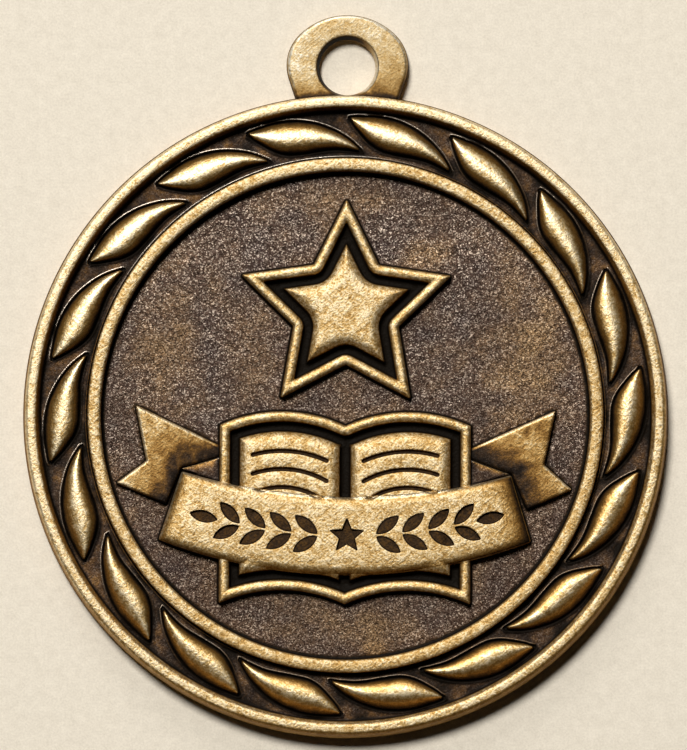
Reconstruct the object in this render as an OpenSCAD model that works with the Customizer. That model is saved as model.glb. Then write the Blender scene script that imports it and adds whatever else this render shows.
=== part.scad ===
// Academic award medal: a one-piece die casting with a hanging loop.
// Millimetres. Origin: centre of the round disc, on its back face.
// +Z is the struck face, +Y runs from the disc's centre to the loop.

/* [Disc] */
// Largest radius of the disc, at the parting line
disc_r = 25.3; // [25:0.05:25.6]
// Height of the rim above the back face
rim_h = 2.3; // [2.2:0.05:2.6]
// Height of the parting line above the back face
parting_h = 0.63; // [0.5:0.01:0.8]
// Inward lean of the edge between the parting line and the rim
edge_draft = 0.2; // [0.1:0.05:0.4]
// Width of the flat top of the rim
rim_w = 0.98; // [0.8:0.02:1.2]
// Height of the sunk central field
field_h = 0.85; // [0.8:0.05:1.0]

/* [Leaf band] */
// Height of the floor under the leaves
band_h = 1.1; // [1.05:0.05:1.3]
// Number of leaves around the band
leaf_n = 18; // [12:1:18]
// Length of a leaf from tip to tip
leaf_l = 9.1; // [8:0.1:9.2]
// Bulge of a leaf's outer side from its tip-to-tip line
leaf_out = 1.57; // [1.2:0.05:1.6]
// Bulge of a leaf's inner side from its tip-to-tip line
leaf_in = 0.97; // [0.7:0.05:1]
// Height of a leaf's crest above the back face
leaf_h = 1.92; // [1.8:0.02:2.1]
// Turn of a leaf from the band's own direction, in degrees
leaf_turn = 16; // [12:1:18]
// Distance of a leaf's middle from the disc's centre
leaf_mid_r = 21.77; // [21.6:0.01:21.9]

/* [Inner ring] */
// Outer radius of the raised ring around the field
ring_ro = 20.19; // [20:0.01:20.3]
// Inner radius of the raised ring
ring_ri = 19.29; // [19:0.01:19.4]
// Height of the ring
ring_h = 2.05; // [1.8:0.05:2.2]

/* [Emblem] */
// Height of the raised border line around the star and the book
line_h = 1.85; // [1.6:0.05:2.0]
// Width of that border line
line_w = 0.9; // [0.7:0.05:1]
// Width of the groove between the border line and the raised faces
groove_w = 0.7; // [0.5:0.05:0.8]
// Height of the raised faces inside the border lines
face_h = 2.15; // [2.0:0.05:2.2]
// Tip radius of the star's outline
star_r = 8.8; // [8.2:0.1:8.9]
// Distance of the star's centre above the disc's centre
star_y = 8.3; // [8.2:0.1:8.5]
// Half the width of the open book
book_w = 9.88; // [9:0.02:9.9]
// Height of the book's upper corners above the disc's centre
book_top = -0.8; // [-0.9:0.05:-0.5]
// Height of the book's lower corners
book_bottom = -14.9; // [-15:0.1:-14.5]
// Rise of the curved page edges
page_rise = 1.1; // [0.9:0.05:1.2]
// Spacing of the plain lines on the pages
page_line = 1.42; // [1.2:0.02:1.6]

/* [Ribbon] */
// Height of the ribbon's front panel
ribbon_h = 2.25; // [2.2:0.05:2.3]
// Height of the ribbon's two tails
tail_h = 1.6; // [1.45:0.05:1.7]
// Height of the folds behind the front panel
fold_h = 1.2; // [1.1:0.05:1.4]
// Depth of the sunk laurel and star on the front panel
inlay_d = 0.25; // [0.15:0.05:0.35]
// Length of a sunk laurel leaf
sprig_l = 2.25; // [1.9:0.05:2.3]
// Width of a sunk laurel leaf
sprig_w = 0.92; // [0.7:0.02:0.96]

/* [Loop] */
// Thickness of the loop's plate
loop_h = 1.4; // [1.3:0.05:1.9]
// Half the width of the loop
loop_hw = 4.8; // [4.6:0.05:4.9]
// Distance of the loop's top from the disc's centre
loop_top = 31.6; // [31.4:0.1:31.8]
// Radius of the loop's two round sides
loop_r = 3.45; // [3.3:0.05:3.6]
// Height of the loop's top above its widest place
loop_rise = 4.0; // [3.9:0.05:4.2]
// Distance of the hole's centre from the disc's centre
hole_y = 27.45; // [27.4:0.01:27.6]
// Radius of the straight middle of the hole
hole_r = 2.2; // [2.05:0.01:2.22]
// Radius of the hole at the front face
hole_front_r = 2.4; // [2.25:0.01:2.45]

/* [Hidden] */
$fn = 96;
bronze = [0.72, 0.58, 0.34];

// Outline points of the left and right tails: [x, y]
left_tail = [[-16.50, 0.76], [-15.62, -3.65], [-18.00, -5.43],
             [-14.03, -7.06], [-12.58, -4.27], [-9.38, -3.25], [-9.39, -2.20]];
right_tail = [[16.53, 0.51], [9.42, -2.71], [9.42, -3.30],
              [12.93, -4.53], [14.27, -7.35], [17.84, -5.78], [15.63, -3.81]];
left_fold = [[-12.84, -4.19], [-9.38, -5.45], [-9.38, -3.19]];
right_fold = [[13.03, -4.53], [9.42, -3.29], [9.42, -5.55]];
// Ribbon edges: [centre x, centre y, radius]
ribbon_upper = [0.37, 38.26, 44.69];
ribbon_lower = [0.04, 28.15, 40.77];
// Ribbon ends, drawn from above the upper edge to below the lower edge
ribbon_ends = [[-12.40, -3.07], [-15.10, -11.29], [14.96, -11.11], [12.48, -2.93]];
// Line along the middle of the ribbon: [centre x, centre y, radius]
ribbon_mid = [0.16, 33.20, 42.73];

// Arc of radius (half chord^2 + rise^2) / (2 rise)
function arc_r(half, rise) = (half * half + rise * rise) / (2 * rise);
// Points of a five-pointed star
function star_pts(r, q) = [for (i = [0 : 9])
    let (a = 90 + i * 36, d = i % 2 == 0 ? r : r * q) [d * cos(a), d * sin(a)]];
star_q = 0.5;
star_half = atan(star_q * sin(36) / (1 - star_q * cos(36)));
// Tip radius of a star moved inwards by d on every side
function star_in(d) = star_r - d / sin(star_half);

// The struck blank: drafted edge, rim, leaf band, ring and sunk field
module blank() {
    rotate_extrude($fn = 192)
        polygon([
            [0, 0], [disc_r - 0.15, 0], [disc_r, parting_h],
            [disc_r - edge_draft, rim_h], [disc_r - edge_draft - rim_w, rim_h],
            [disc_r - edge_draft - rim_w - 0.2, band_h],
            [ring_ro + 0.12, band_h], [ring_ro, ring_h],
            [ring_ri, ring_h], [ring_ri - 0.12, field_h], [0, field_h]
        ]);
}

// One leaf, lying along +X, its base sunk in the band
module leaf() {
    intersection() {
        linear_extrude(height = rim_h)
            intersection() {
                translate([0, leaf_out - arc_r(leaf_l / 2, leaf_out)])
                    circle(r = arc_r(leaf_l / 2, leaf_out));
                translate([0, arc_r(leaf_l / 2, leaf_in) - leaf_in])
                    circle(r = arc_r(leaf_l / 2, leaf_in));
            }
        translate([0, (leaf_out - leaf_in) / 2, leaf_h - 1.55])
            rotate([0, 90, 0])
                rotate_extrude()
                    intersection() {
                        translate([1.55 - arc_r(5.6, 1.55), 0])
                            circle(r = arc_r(5.6, 1.55), $fn = 192);
                        translate([0, -6]) square([6, 12]);
                    }
    }
}

module leaf_band() {
    for (i = [0 : leaf_n - 1])
        rotate([0, 0, -360 / leaf_n * i - 11.45])
            translate([-0.2, leaf_mid_r, 0])
                rotate([0, 0, -leaf_turn])
                    translate([0, 0, 0.5])
                        intersection() {
                            translate([0, 0, -0.5]) leaf();
                            translate([-6, -3, 0.5]) cube([12, 6, 3]);
                        }
}

// Star: a border line with a raised face inside it
module star() {
    translate([0, star_y, 0]) {
        difference() {
            linear_extrude(height = line_h)
                polygon(star_pts(star_r, star_q));
            translate([0, 0, field_h])
                linear_extrude(height = 2)
                    polygon(star_pts(star_in(line_w), star_q));
        }
        linear_extrude(height = face_h)
            polygon(star_pts(star_in(line_w + groove_w), star_q));
    }
}

// One page outline to the left of the gutter, moved inwards by d
module page_2d(d, gutter) {
    half = book_w / 2;
    r = arc_r(half, page_rise);
    intersection() {
        translate([-book_w + d, book_bottom - 1])
            square([book_w - d - gutter, book_top - book_bottom + 4]);
        translate([-half, book_top + page_rise - r])
            circle(r = r - d, $fn = 192);
        difference() {
            translate([-book_w - 1, book_bottom - 1]) square([book_w + 2, 20]);
            translate([-half, book_bottom + page_rise - r])
                circle(r = r + d, $fn = 192);
        }
    }
}

module book_2d(d) {
    page_2d(d, -0.01);
    mirror([1, 0]) page_2d(d, -0.01);
}

// Plain lines that follow the top of a page
module page_lines() {
    half = book_w / 2;
    r = arc_r(half, page_rise);
    d0 = line_w + groove_w;
    for (i = [1 : 4])
        translate([0, 0, face_h - inlay_d])
            linear_extrude(height = 1)
                intersection() {
                    translate([-book_w + d0 + 0.9, book_bottom])
                        square([book_w - d0 - 2.2, 18]);
                    translate([-half, book_top + page_rise - r])
                        difference() {
                            circle(r = r - d0 - i * page_line, $fn = 192);
                            circle(r = r - d0 - i * page_line - 0.34, $fn = 192);
                        }
                }
}

module book() {
    difference() {
        linear_extrude(height = line_h) book_2d(0);
        translate([0, 0, field_h]) linear_extrude(height = 2) book_2d(line_w);
    }
    for (m = [0, 1])
        mirror([m, 0, 0])
            difference() {
                linear_extrude(height = face_h) page_2d(line_w + groove_w, 0.4);
                page_lines();
            }
}

// Pointed sunk leaf along +X from the origin
module sprig_leaf_2d() {
    r = arc_r(sprig_l / 2, sprig_w / 2);
    translate([sprig_l / 2, 0])
        intersection() {
            translate([0, sprig_w / 2 - r]) circle(r = r);
            translate([0, r - sprig_w / 2]) circle(r = r);
        }
}

// Half of the sunk laurel: pairs of leaves that follow the ribbon
module sprig_2d() {
    for (i = [0 : 3])
        rotate([0, 0, 3.1 + i * 2.75])
            translate([0, -ribbon_mid[2]])
                for (s = [-1, 1])
                    translate([0, s * 0.10]) rotate([0, 0, s * 36]) sprig_leaf_2d();
    rotate([0, 0, 13.7]) translate([0, -ribbon_mid[2]]) sprig_leaf_2d();
}

module ribbon() {
    linear_extrude(height = tail_h) { polygon(left_tail); polygon(right_tail); }
    linear_extrude(height = fold_h) { polygon(left_fold); polygon(right_fold); }
    difference() {
        linear_extrude(height = ribbon_h)
            difference() {
                intersection() {
                    translate([ribbon_lower[0], ribbon_lower[1]])
                        circle(r = ribbon_lower[2], $fn = 192);
                    polygon(ribbon_ends);
                }
                translate([ribbon_upper[0], ribbon_upper[1]])
                    circle(r = ribbon_upper[2], $fn = 192);
            }
        translate([ribbon_mid[0], ribbon_mid[1], ribbon_h - inlay_d])
            linear_extrude(height = 1) {
                sprig_2d();
                mirror([1, 0]) sprig_2d();
                translate([0, -ribbon_mid[2]]) polygon(star_pts(1.45, 0.45));
            }
    }
}

// Loop outline: two round sides, a flatter arc over the top that touches
// both, and straight flanks that lean in to the disc
module loop() {
    cx = loop_hw - loop_r;
    cy = loop_top - loop_rise;
    top_r = (loop_rise * loop_rise - loop_r * loop_r + cx * cx)
            / (2 * (loop_rise - loop_r));
    top_y = cy + loop_rise - top_r;
    px = cx + loop_r * cos(20.6);
    py = cy - loop_r * sin(20.6);
    linear_extrude(height = loop_h) {
        for (s = [-1, 1])
            translate([s * cx, cy]) circle(r = loop_r, $fn = 128);
        intersection() {
            translate([0, top_y]) circle(r = top_r, $fn = 192);
            polygon([[0, top_y], [9 * cx, top_y + 9 * (cy - top_y)],
                     [-9 * cx, top_y + 9 * (cy - top_y)]]);
        }
        polygon([[-px, py], [-px + 0.66, 24.4], [-px + 0.98, 22.4],
                 [px - 0.98, 22.4], [px - 0.66, 24.4], [px, py]]);
    }
}

module medal() {
    color(bronze)
        difference() {
            union() {
                blank();
                leaf_band();
                star();
                difference() {
                    book();
                    // the ribbon crosses in front of the book
                    translate([0, 0, field_h])
                        linear_extrude(height = 2) ribbon_cover_2d();
                }
                ribbon();
                difference() {
                    loop();
                    translate([0, 0, -1]) cylinder(r = disc_r - 0.8, h = 6, $fn = 192);
                }
            }
            translate([0, hole_y, -1]) cylinder(r = hole_r, h = 6, $fn = 96);
            translate([0, hole_y, loop_h - 0.65])
                cylinder(r1 = hole_r, r2 = hole_front_r, h = 0.65 + 0.0001, $fn = 96);
            translate([0, hole_y, -0.0001])
                cylinder(r1 = hole_r + 0.16, r2 = hole_r, h = 0.3, $fn = 96);
        }
}

module ribbon_cover_2d() {
    difference() {
        intersection() {
            translate([ribbon_lower[0], ribbon_lower[1]])
                circle(r = ribbon_lower[2] - 0.2, $fn = 192);
            polygon(ribbon_ends);
        }
        translate([ribbon_upper[0], ribbon_upper[1]])
            circle(r = ribbon_upper[2] + 0.2, $fn = 192);
    }
}

medal();
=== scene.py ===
import math
import time

import bpy
import numpy as np
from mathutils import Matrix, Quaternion, Vector, kdtree
from mathutils.geometry import delaunay_2d_cdt


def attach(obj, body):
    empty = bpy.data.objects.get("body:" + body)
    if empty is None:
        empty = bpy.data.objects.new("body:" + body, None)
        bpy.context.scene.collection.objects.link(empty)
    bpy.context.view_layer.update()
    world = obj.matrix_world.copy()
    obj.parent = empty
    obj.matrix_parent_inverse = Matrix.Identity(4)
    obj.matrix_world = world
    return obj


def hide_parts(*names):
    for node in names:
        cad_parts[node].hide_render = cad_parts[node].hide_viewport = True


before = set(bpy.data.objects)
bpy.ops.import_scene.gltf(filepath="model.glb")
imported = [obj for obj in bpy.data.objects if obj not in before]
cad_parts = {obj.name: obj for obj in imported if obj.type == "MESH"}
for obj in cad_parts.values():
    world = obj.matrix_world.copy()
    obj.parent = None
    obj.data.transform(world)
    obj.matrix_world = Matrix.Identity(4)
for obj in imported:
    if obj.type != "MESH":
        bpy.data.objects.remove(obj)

T0 = time.time()
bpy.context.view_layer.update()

# ------------------------------------------------------------------ helpers
def arc_r(half, rise):
    return (half * half + rise * rise) / (2 * rise)

def arc_pts(cx, cy, r, a0, a1, step):
    n = max(2, int(math.ceil(abs(a1 - a0) * r / step)))
    a = np.linspace(a0, a1, n + 1)
    return np.stack([cx + r * np.cos(a), cy + r * np.sin(a)], 1)

def line_pts(p, q, step):
    p, q = np.asarray(p, float), np.asarray(q, float)
    n = max(1, int(math.ceil(np.hypot(*(q - p)) / step)))
    t = np.linspace(0, 1, n + 1)[:, None]
    return p + (q - p) * t

def fillet(corners, r, step, seg=5):
    """Closed outline through straight corners, each rounded with radius r (a number or one per corner)."""
    c = np.asarray(corners, float)
    n = len(c)
    rr = [r] * n if np.isscalar(r) else r
    out = []
    for i in range(n):
        a, b, d = c[i - 1], c[i], c[(i + 1) % n]
        u = (a - b) / np.hypot(*(a - b))
        v = (d - b) / np.hypot(*(d - b))
        half = math.acos(max(-1, min(1, float(u @ v)))) / 2
        t = rr[i] / math.tan(half)
        p0, p1 = b + u * t, b + v * t
        m = (u + v) / np.hypot(*(u + v))
        ctr = b + m * rr[i] / math.sin(half)
        a0 = math.atan2(*(p0 - ctr)[::-1])
        a1 = math.atan2(*(p1 - ctr)[::-1])
        while a1 - a0 > math.pi: a1 -= 2 * math.pi
        while a1 - a0 < -math.pi: a1 += 2 * math.pi
        out.append([ctr + rr[i] * np.array([math.cos(t_), math.sin(t_)]) for t_ in np.linspace(a0, a1, seg + 1)])
    pts = []
    for i in range(n):
        pts.extend(out[i])
        q = line_pts(out[i][-1], out[(i + 1) % n][0], step)[1:-1]
        pts.extend(list(q))
    return np.array(pts)

def area(p):
    x, y = p[:, 0], p[:, 1]
    return 0.5 * float(np.sum(x * np.roll(y, -1) - np.roll(x, -1) * y))

def ccw(p):
    return p if area(p) > 0 else p[::-1].copy()

def seg_dist(P, A, B, chunk=4000000):
    """Smallest distance of each point of P to the segments A-B."""
    out = np.empty(len(P))
    d = B - A
    L = np.maximum((d * d).sum(1), 1e-18)
    k = max(1, int(chunk // max(1, len(A))))
    for s in range(0, len(P), k):
        p = P[s:s + k]
        w = p[:, None, :] - A[None]
        t = np.clip((w * d[None]).sum(2) / L[None], 0, 1)
        r = w - t[..., None] * d[None]
        out[s:s + k] = np.sqrt((r * r).sum(2).min(1))
    return out

def inside(P, poly, chunk=4000000):
    A, B = poly, np.roll(poly, -1, 0)
    out = np.zeros(len(P), bool)
    k = max(1, int(chunk // len(A)))
    for s in range(0, len(P), k):
        p = P[s:s + k]
        y = p[:, 1][:, None]
        c = (A[None, :, 1] > y) != (B[None, :, 1] > y)
        with np.errstate(divide="ignore", invalid="ignore"):
            xi = A[None, :, 0] + (y - A[None, :, 1]) * (B[None, :, 0] - A[None, :, 0]) / (B[None, :, 1] - A[None, :, 1])
        out[s:s + k] = (np.sum(c & (p[:, 0][:, None] < xi), 1) % 2) == 1
    return out

def sdf(P, poly, reach=3.0):
    """Signed distance, positive inside; -reach where farther than reach from the outline's box."""
    out = np.full(len(P), -reach)
    lo, hi = poly.min(0) - reach, poly.max(0) + reach
    m = np.all((P > lo) & (P < hi), 1)
    if m.any():
        q = P[m]
        d = seg_dist(q, poly, np.roll(poly, -1, 0))
        s = np.where(inside(q, poly), 1.0, -1.0)
        out[m] = d * s
    return out

def normals(poly):
    """Inward unit normals of a closed anticlockwise outline, at its vertices."""
    e = np.roll(poly, -1, 0) - poly
    e /= np.maximum(np.hypot(e[:, 0], e[:, 1]), 1e-12)[:, None]
    n = np.stack([-e[:, 1], e[:, 0]], 1)
    m = n + np.roll(n, 1, 0)
    m /= np.maximum(np.hypot(m[:, 0], m[:, 1]), 1e-12)[:, None]
    return m

def offset(poly, d, tol=0.012):
    """The outline moved inwards by d (outwards if d < 0), as a closed loop of points; corners that close up are mitred."""
    q = poly + normals(poly) * d
    if abs(d) < 1e-9:
        return q
    dist = seg_dist(q, poly, np.roll(poly, -1, 0))
    ok = dist > abs(d) - tol * (0.3 + abs(d))
    if ok.all():
        return q
    if not ok.any():
        return np.zeros((0, 2))
    # rotate so that index 0 is the start of a valid run
    n = len(q)
    start = next(i for i in range(n) if ok[i] and not ok[i - 1])
    idx = [(start + i) % n for i in range(n)]
    runs, cur = [], []
    for i in idx:
        if ok[i]:
            cur.append(i)
        elif cur:
            runs.append(cur); cur = []
    if cur:
        runs.append(cur)
    runs = [r for r in runs if len(r) >= 2]
    out = []
    for a, r in enumerate(runs):
        pts = q[r]
        out.extend(list(pts))
        nxt = q[runs[(a + 1) % len(runs)]]
        p, t = pts[-1], pts[-1] - pts[-2]
        s, u = nxt[0], nxt[1] - nxt[0]
        den = t[0] * u[1] - t[1] * u[0]
        if abs(den) > 1e-9:
            k = ((s[0] - p[0]) * u[1] - (s[1] - p[1]) * u[0]) / den
            c = p + t * k
            if k > 0 and np.hypot(*(c - p)) < 0.6:
                out.append(c)
    return np.array(out)


# ------------------------------------------------------------------ sizes, millimetres (as in the CAD)
RIM_H, BAND_H, FIELD_H = 3.0, 2.0, 1.9   # levels of the charts below
HOLE_Y, HOLE_R, HOLE_F = 27.45, 2.2, 2.46
LOOP_H, LOOP_HW, LOOP_R, LOOP_TOP, LOOP_RISE = 2.4, 4.8, 3.45, 31.6, 4.0
PART_Z0, PART_Z1 = 0.60, 0.66            # the parting line on the edge
HOLE_Z = 0.75                            # where the hole's mouth begins to open
TOP_Z = 2.3                              # the rim, the highest part
def level(z):
    """The charts below are drawn over a blank of 3 mm. This brings their heights to the medal's own levels."""
    return np.interp(z, [0, 0.93, 1.9, 2.0, 2.75, 3.0], [0, 0.66, 0.85, 1.10, 2.05, 2.3])
def loop_level(z):
    return np.interp(z, [0, 0.93, 1.3, 2.4], [0, 0.66, 0.75, 1.40])
EDGE_R = 25.3

# radial profile of the blank: radius, height
RADIAL = [(0, 1.9), (18.95, 1.9), (19.06, 1.905), (19.13, 1.93), (19.165, 2.0), (19.215, 2.55), (19.24, 2.65),
          (19.285, 2.705), (19.36, 2.733), (19.52, 2.752), (19.74, 2.757), (19.95, 2.750), (20.07, 2.730), (20.14, 2.70), (20.185, 2.64),
          (20.215, 2.54), (20.245, 2.16), (20.265, 2.05), (20.295, 2.02), (20.335, 2.07), (20.38, 2.10), (20.43, 2.085), (20.50, 2.02), (20.58, 2.0),
          (23.70, 2.0), (23.82, 2.005), (23.90, 2.03), (23.95, 2.10), (24.04, 2.50), (24.10, 2.64),
          (24.155, 2.77), (24.20, 2.875), (24.245, 2.945), (24.32, 2.985), (24.47, 3.0), (24.68, 3.0), (24.80, 2.994), (24.88, 2.975),
          (24.95, 2.94), (25.02, 2.88), (25.08, 2.78), (25.15, 2.44), (25.27, 1.02), (25.29, 0.95), (25.3, 0.93)]
RADIAL_A = np.array(RADIAL, float)

# border line, groove and raised face by distance inside an outline
EMBLEM = np.array([(-0.20, 1.900), (-0.10, 1.906), (-0.03, 1.935), (0.005, 2.00), (0.065, 2.37), (0.105, 2.46), (0.17, 2.525),
                   (0.27, 2.565), (0.42, 2.58), (0.58, 2.565), (0.70, 2.53), (0.78, 2.47), (0.83, 2.37), (0.90, 2.05),
                   (0.935, 1.985), (1.00, 1.96), (1.46, 1.96), (1.53, 1.985), (1.57, 2.05), (1.64, 2.38), (1.69, 2.49),
                   (1.77, 2.585), (1.88, 2.67), (2.02, 2.745), (2.18, 2.80), (2.36, 2.835), (2.58, 2.853), (2.85, 2.855), (9.0, 2.855)])
RIBBON = np.array([(-0.2, 0.0), (-0.06, 0.02), (0.0, 0.1), (0.055, 0.6), (0.09, 0.7), (0.145, 0.785), (0.22, 0.865), (0.31, 0.925), (0.43, 0.965), (0.6, 1.0), (99, 1.0)])
PLATE = np.array([(-0.16, 0.0), (-0.05, 0.03), (0.0, 0.12), (0.05, 0.70), (0.08, 0.84), (0.13, 0.94), (0.20, 0.985), (0.30, 1.0), (99, 1.0)])
POCKET = np.array([(-0.07, 0.0), (-0.03, 0.02), (0.0, 0.10), (0.035, 0.80), (0.06, 0.93), (0.10, 0.985), (0.14, 1.0), (99, 1.0)])
INLAY_D = 0.25

# leaf chart: degrees from the start of its 1/18, outer edge radius, inner edge radius, crest height over the floor
LEAF = np.array([
    (0.20, 23.42, 23.38, 0.07), (0.65, 23.49, 23.28, 0.25), (1.45, 23.53, 22.82, 0.37), (2.45, 23.55, 22.36, 0.46), (3.45, 23.57, 21.96, 0.52), (4.45, 23.60, 21.60, 0.56),
    (5.45, 23.61, 21.33, 0.60), (7.45, 23.59, 21.00, 0.63), (9.45, 23.50, 20.90, 0.64), (11.45, 23.34, 20.88, 0.64), (13.45, 23.11, 20.92, 0.64), (15.45, 22.80, 20.97, 0.61),
    (17.45, 22.42, 20.99, 0.57), (19.45, 21.97, 20.94, 0.50), (20.95, 21.56, 20.88, 0.42), (22.05, 21.21, 20.83, 0.33), (22.85, 20.95, 20.80, 0.21), (23.25, 20.84, 20.80, 0.07)])
# leaf cross-section: position from inner edge (-1) to outer edge (1), share of the crest height
LEAF_X = np.array([(-1.0, 0.0), (-0.965, 0.17), (-0.91, 0.38), (-0.82, 0.60), (-0.70, 0.77), (-0.54, 0.89), (-0.36, 0.965), (-0.16, 1.0),
                   (0.03, 0.985), (0.22, 0.93), (0.41, 0.83), (0.59, 0.69), (0.75, 0.51), (0.88, 0.31), (0.955, 0.15), (1.0, 0.0)])
# raised lip and crevice around a leaf: distance outside its edge, height over the band floor
LIP = np.array([(0.0, -0.07), (0.055, -0.06), (0.11, 0.02), (0.155, 0.075), (0.205, 0.08), (0.27, 0.035), (0.36, 0.005), (0.44, 0.0), (9, 0.0)])

def smooth_table(x, xs, ys):
    """Catmull-Rom through a short table, so that charted edges are smooth."""
    xs = np.asarray(xs, float); ys = np.asarray(ys, float)
    h = np.diff(xs); dl = np.diff(ys) / h
    m = np.empty_like(ys)
    m[1:-1] = (dl[:-1] * h[1:] + dl[1:] * h[:-1]) / (h[1:] + h[:-1])
    m[0], m[-1] = dl[0], dl[-1]
    x = np.clip(x, xs[0], xs[-1])
    i = np.clip(np.searchsorted(xs, x, side="right") - 1, 0, len(xs) - 2)
    t = (x - xs[i]) / h[i]
    return ((2 * t**3 - 3 * t**2 + 1) * ys[i] + (t**3 - 2 * t**2 + t) * h[i] * m[i]
            + (-2 * t**3 + 3 * t**2) * ys[i + 1] + (t**3 - t**2) * h[i] * m[i + 1])

def leaf_edges(a):
    return (smooth_table(a, LEAF[:, 0], LEAF[:, 1]), smooth_table(a, LEAF[:, 0], LEAF[:, 2]), smooth_table(a, LEAF[:, 0], LEAF[:, 3]))

A0, A1 = LEAF[0, 0], LEAF[-1, 0]
LEAF_A = np.unique(np.concatenate([A0 + (2.5 - A0) * np.linspace(0, 1, 10) ** 1.4, np.linspace(2.5, 20.5, 37),
                                   A1 - (A1 - 20.5) * np.linspace(0, 1, 10) ** 1.4]))

def pol(a_deg, r):
    """Clockwise angle from +Y in degrees, and radius, to x, y."""
    a = np.radians(a_deg)
    return np.stack([r * np.sin(a), r * np.cos(a)], 1)

def leaf_outline():
    up, lo, _ = leaf_edges(LEAF_A)
    return ccw(np.concatenate([pol(LEAF_A, up), pol(LEAF_A[::-1], lo[::-1])]))

# ------------------------------------------------------------------ outlines
STAR_R, STAR_Y, STAR_Q = 8.8, 8.3, 0.5
def star(r, q, cx=0.0, cy=0.0):
    return np.array([[cx + (r if i % 2 == 0 else r * q) * math.cos(math.radians(90 + 36 * i)),
                      cy + (r if i % 2 == 0 else r * q) * math.sin(math.radians(90 + 36 * i))] for i in range(10)])

BOOK_W, BOOK_TOP, BOOK_BOT, PAGE_RISE = 9.88, -0.8, -14.9, 1.1
def book_outline(step=0.14):
    half = BOOK_W / 2
    r = arc_r(half, PAGE_RISE)
    sp = math.asin(half / r)
    top = []
    for cx in (-half, half):
        top.append(arc_pts(cx, BOOK_TOP + PAGE_RISE - r, r, math.pi / 2 + sp, math.pi / 2 - sp, step))
    bot = [p - [0, BOOK_TOP - BOOK_BOT] for p in top]
    left = line_pts(bot[0][0], top[0][0], step)
    right = line_pts(top[1][-1], bot[1][-1], step)
    pts = np.concatenate([left[:-1], top[0][:-1], top[1][:-1], right[:-1], bot[1][::-1][:-1], bot[0][::-1][:-1]])
    return round_sharp(ccw(pts), 0.14)

def round_sharp(poly, r, limit=20.0, seg=5):
    """Rounds the corners of a dense outline whose turn is over limit degrees."""
    n = len(poly)
    e = np.roll(poly, -1, 0) - poly
    ang = np.degrees(np.arctan2(e[:, 1], e[:, 0]))
    turn = (ang - np.roll(ang, 1) + 180) % 360 - 180
    sharp = [i for i in range(n) if abs(turn[i]) > limit]
    drop, add = set(), {}
    for i in sharp:
        half = math.radians(180 - abs(turn[i])) / 2
        t = r / math.tan(half)
        b = poly[i]
        def walk(sign):
            p, left, j = b, t, i
            while True:
                q = poly[(j + sign) % n]
                L = float(np.hypot(*(q - p)))
                if L > left:
                    return p + (q - p) * left / L
                left -= L; j += sign; p = q
                drop.add(j % n)
        p0, p1 = walk(-1), walk(1)
        u, v = (p0 - b) / np.hypot(*(p0 - b)), (p1 - b) / np.hypot(*(p1 - b))
        m = (u + v) / np.hypot(*(u + v))
        ctr = b + m * r / math.sin(half)
        a0, a1 = math.atan2(*(p0 - ctr)[::-1]), math.atan2(*(p1 - ctr)[::-1])
        while a1 - a0 > math.pi: a1 -= 2 * math.pi
        while a1 - a0 < -math.pi: a1 += 2 * math.pi
        rad = float(np.hypot(*(p0 - ctr)))
        add[i] = [ctr + rad * np.array([math.cos(s), math.sin(s)]) for s in np.linspace(a0, a1, seg + 1)]
        drop.add(i)
    out = []
    for i in range(n):
        if i in add:
            out.extend(add[i])
        elif i not in drop:
            out.append(poly[i])
    return np.array(out)

UPPER = (0.37, 38.26, 44.69)
LOWER = (0.04, 28.15, 40.77)
MID = (0.16, 33.20, 42.73)
def on_arc(c, x):
    return c[1] - math.sqrt(c[2] ** 2 - (x - c[0]) ** 2)
RB = [(-12.83, on_arc(UPPER, -12.83)), (-14.64, on_arc(LOWER, -14.64)), (14.64, on_arc(LOWER, 14.64)), (13.03, on_arc(UPPER, 13.03))]
def arc_between(c, x0, x1, step):
    a0 = math.atan2(on_arc(c, x0) - c[1], x0 - c[0])
    a1 = math.atan2(on_arc(c, x1) - c[1], x1 - c[0])
    return arc_pts(c[0], c[1], c[2], a0, a1, step)
def ribbon_outline(step=0.14):
    low = arc_between(LOWER, RB[1][0], RB[2][0], step)
    up = arc_between(UPPER, RB[3][0], RB[0][0], step)
    left = line_pts(RB[0], RB[1], step)
    right = line_pts(RB[2], RB[3], step)
    return round_sharp(ccw(np.concatenate([low[:-1], right[:-1], up[:-1], left[:-1]])), 0.2)

LEFT_TAIL = [(-16.50, 0.76), (-15.62, -3.65), (-18.00, -5.43), (-14.03, -7.06), (-12.84, -4.19), (-9.92, -3.35), (-9.28, -3.16), (-9.29, -2.12), (-9.83, -2.39)]
RIGHT_TAIL = [(16.53, 0.51), (9.98, -2.45), (9.32, -2.75), (9.32, -3.24), (9.99, -3.47), (13.03, -4.55), (14.27, -7.35), (17.84, -5.78), (15.63, -3.81)]
LEFT_FOLD = [(-12.93, -4.23), (-9.27, -5.65), (-9.28, -3.14)]
RIGHT_FOLD = [(13.08, -4.56), (9.32, -3.22), (9.33, -5.75)]

def tails():
    return [fillet(ccw(np.array(t)), [0.12 if i < 4 or n else 0.12 for i in range(len(t))], 0.16, 4) for n, t in enumerate((LEFT_TAIL, RIGHT_TAIL))]

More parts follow.
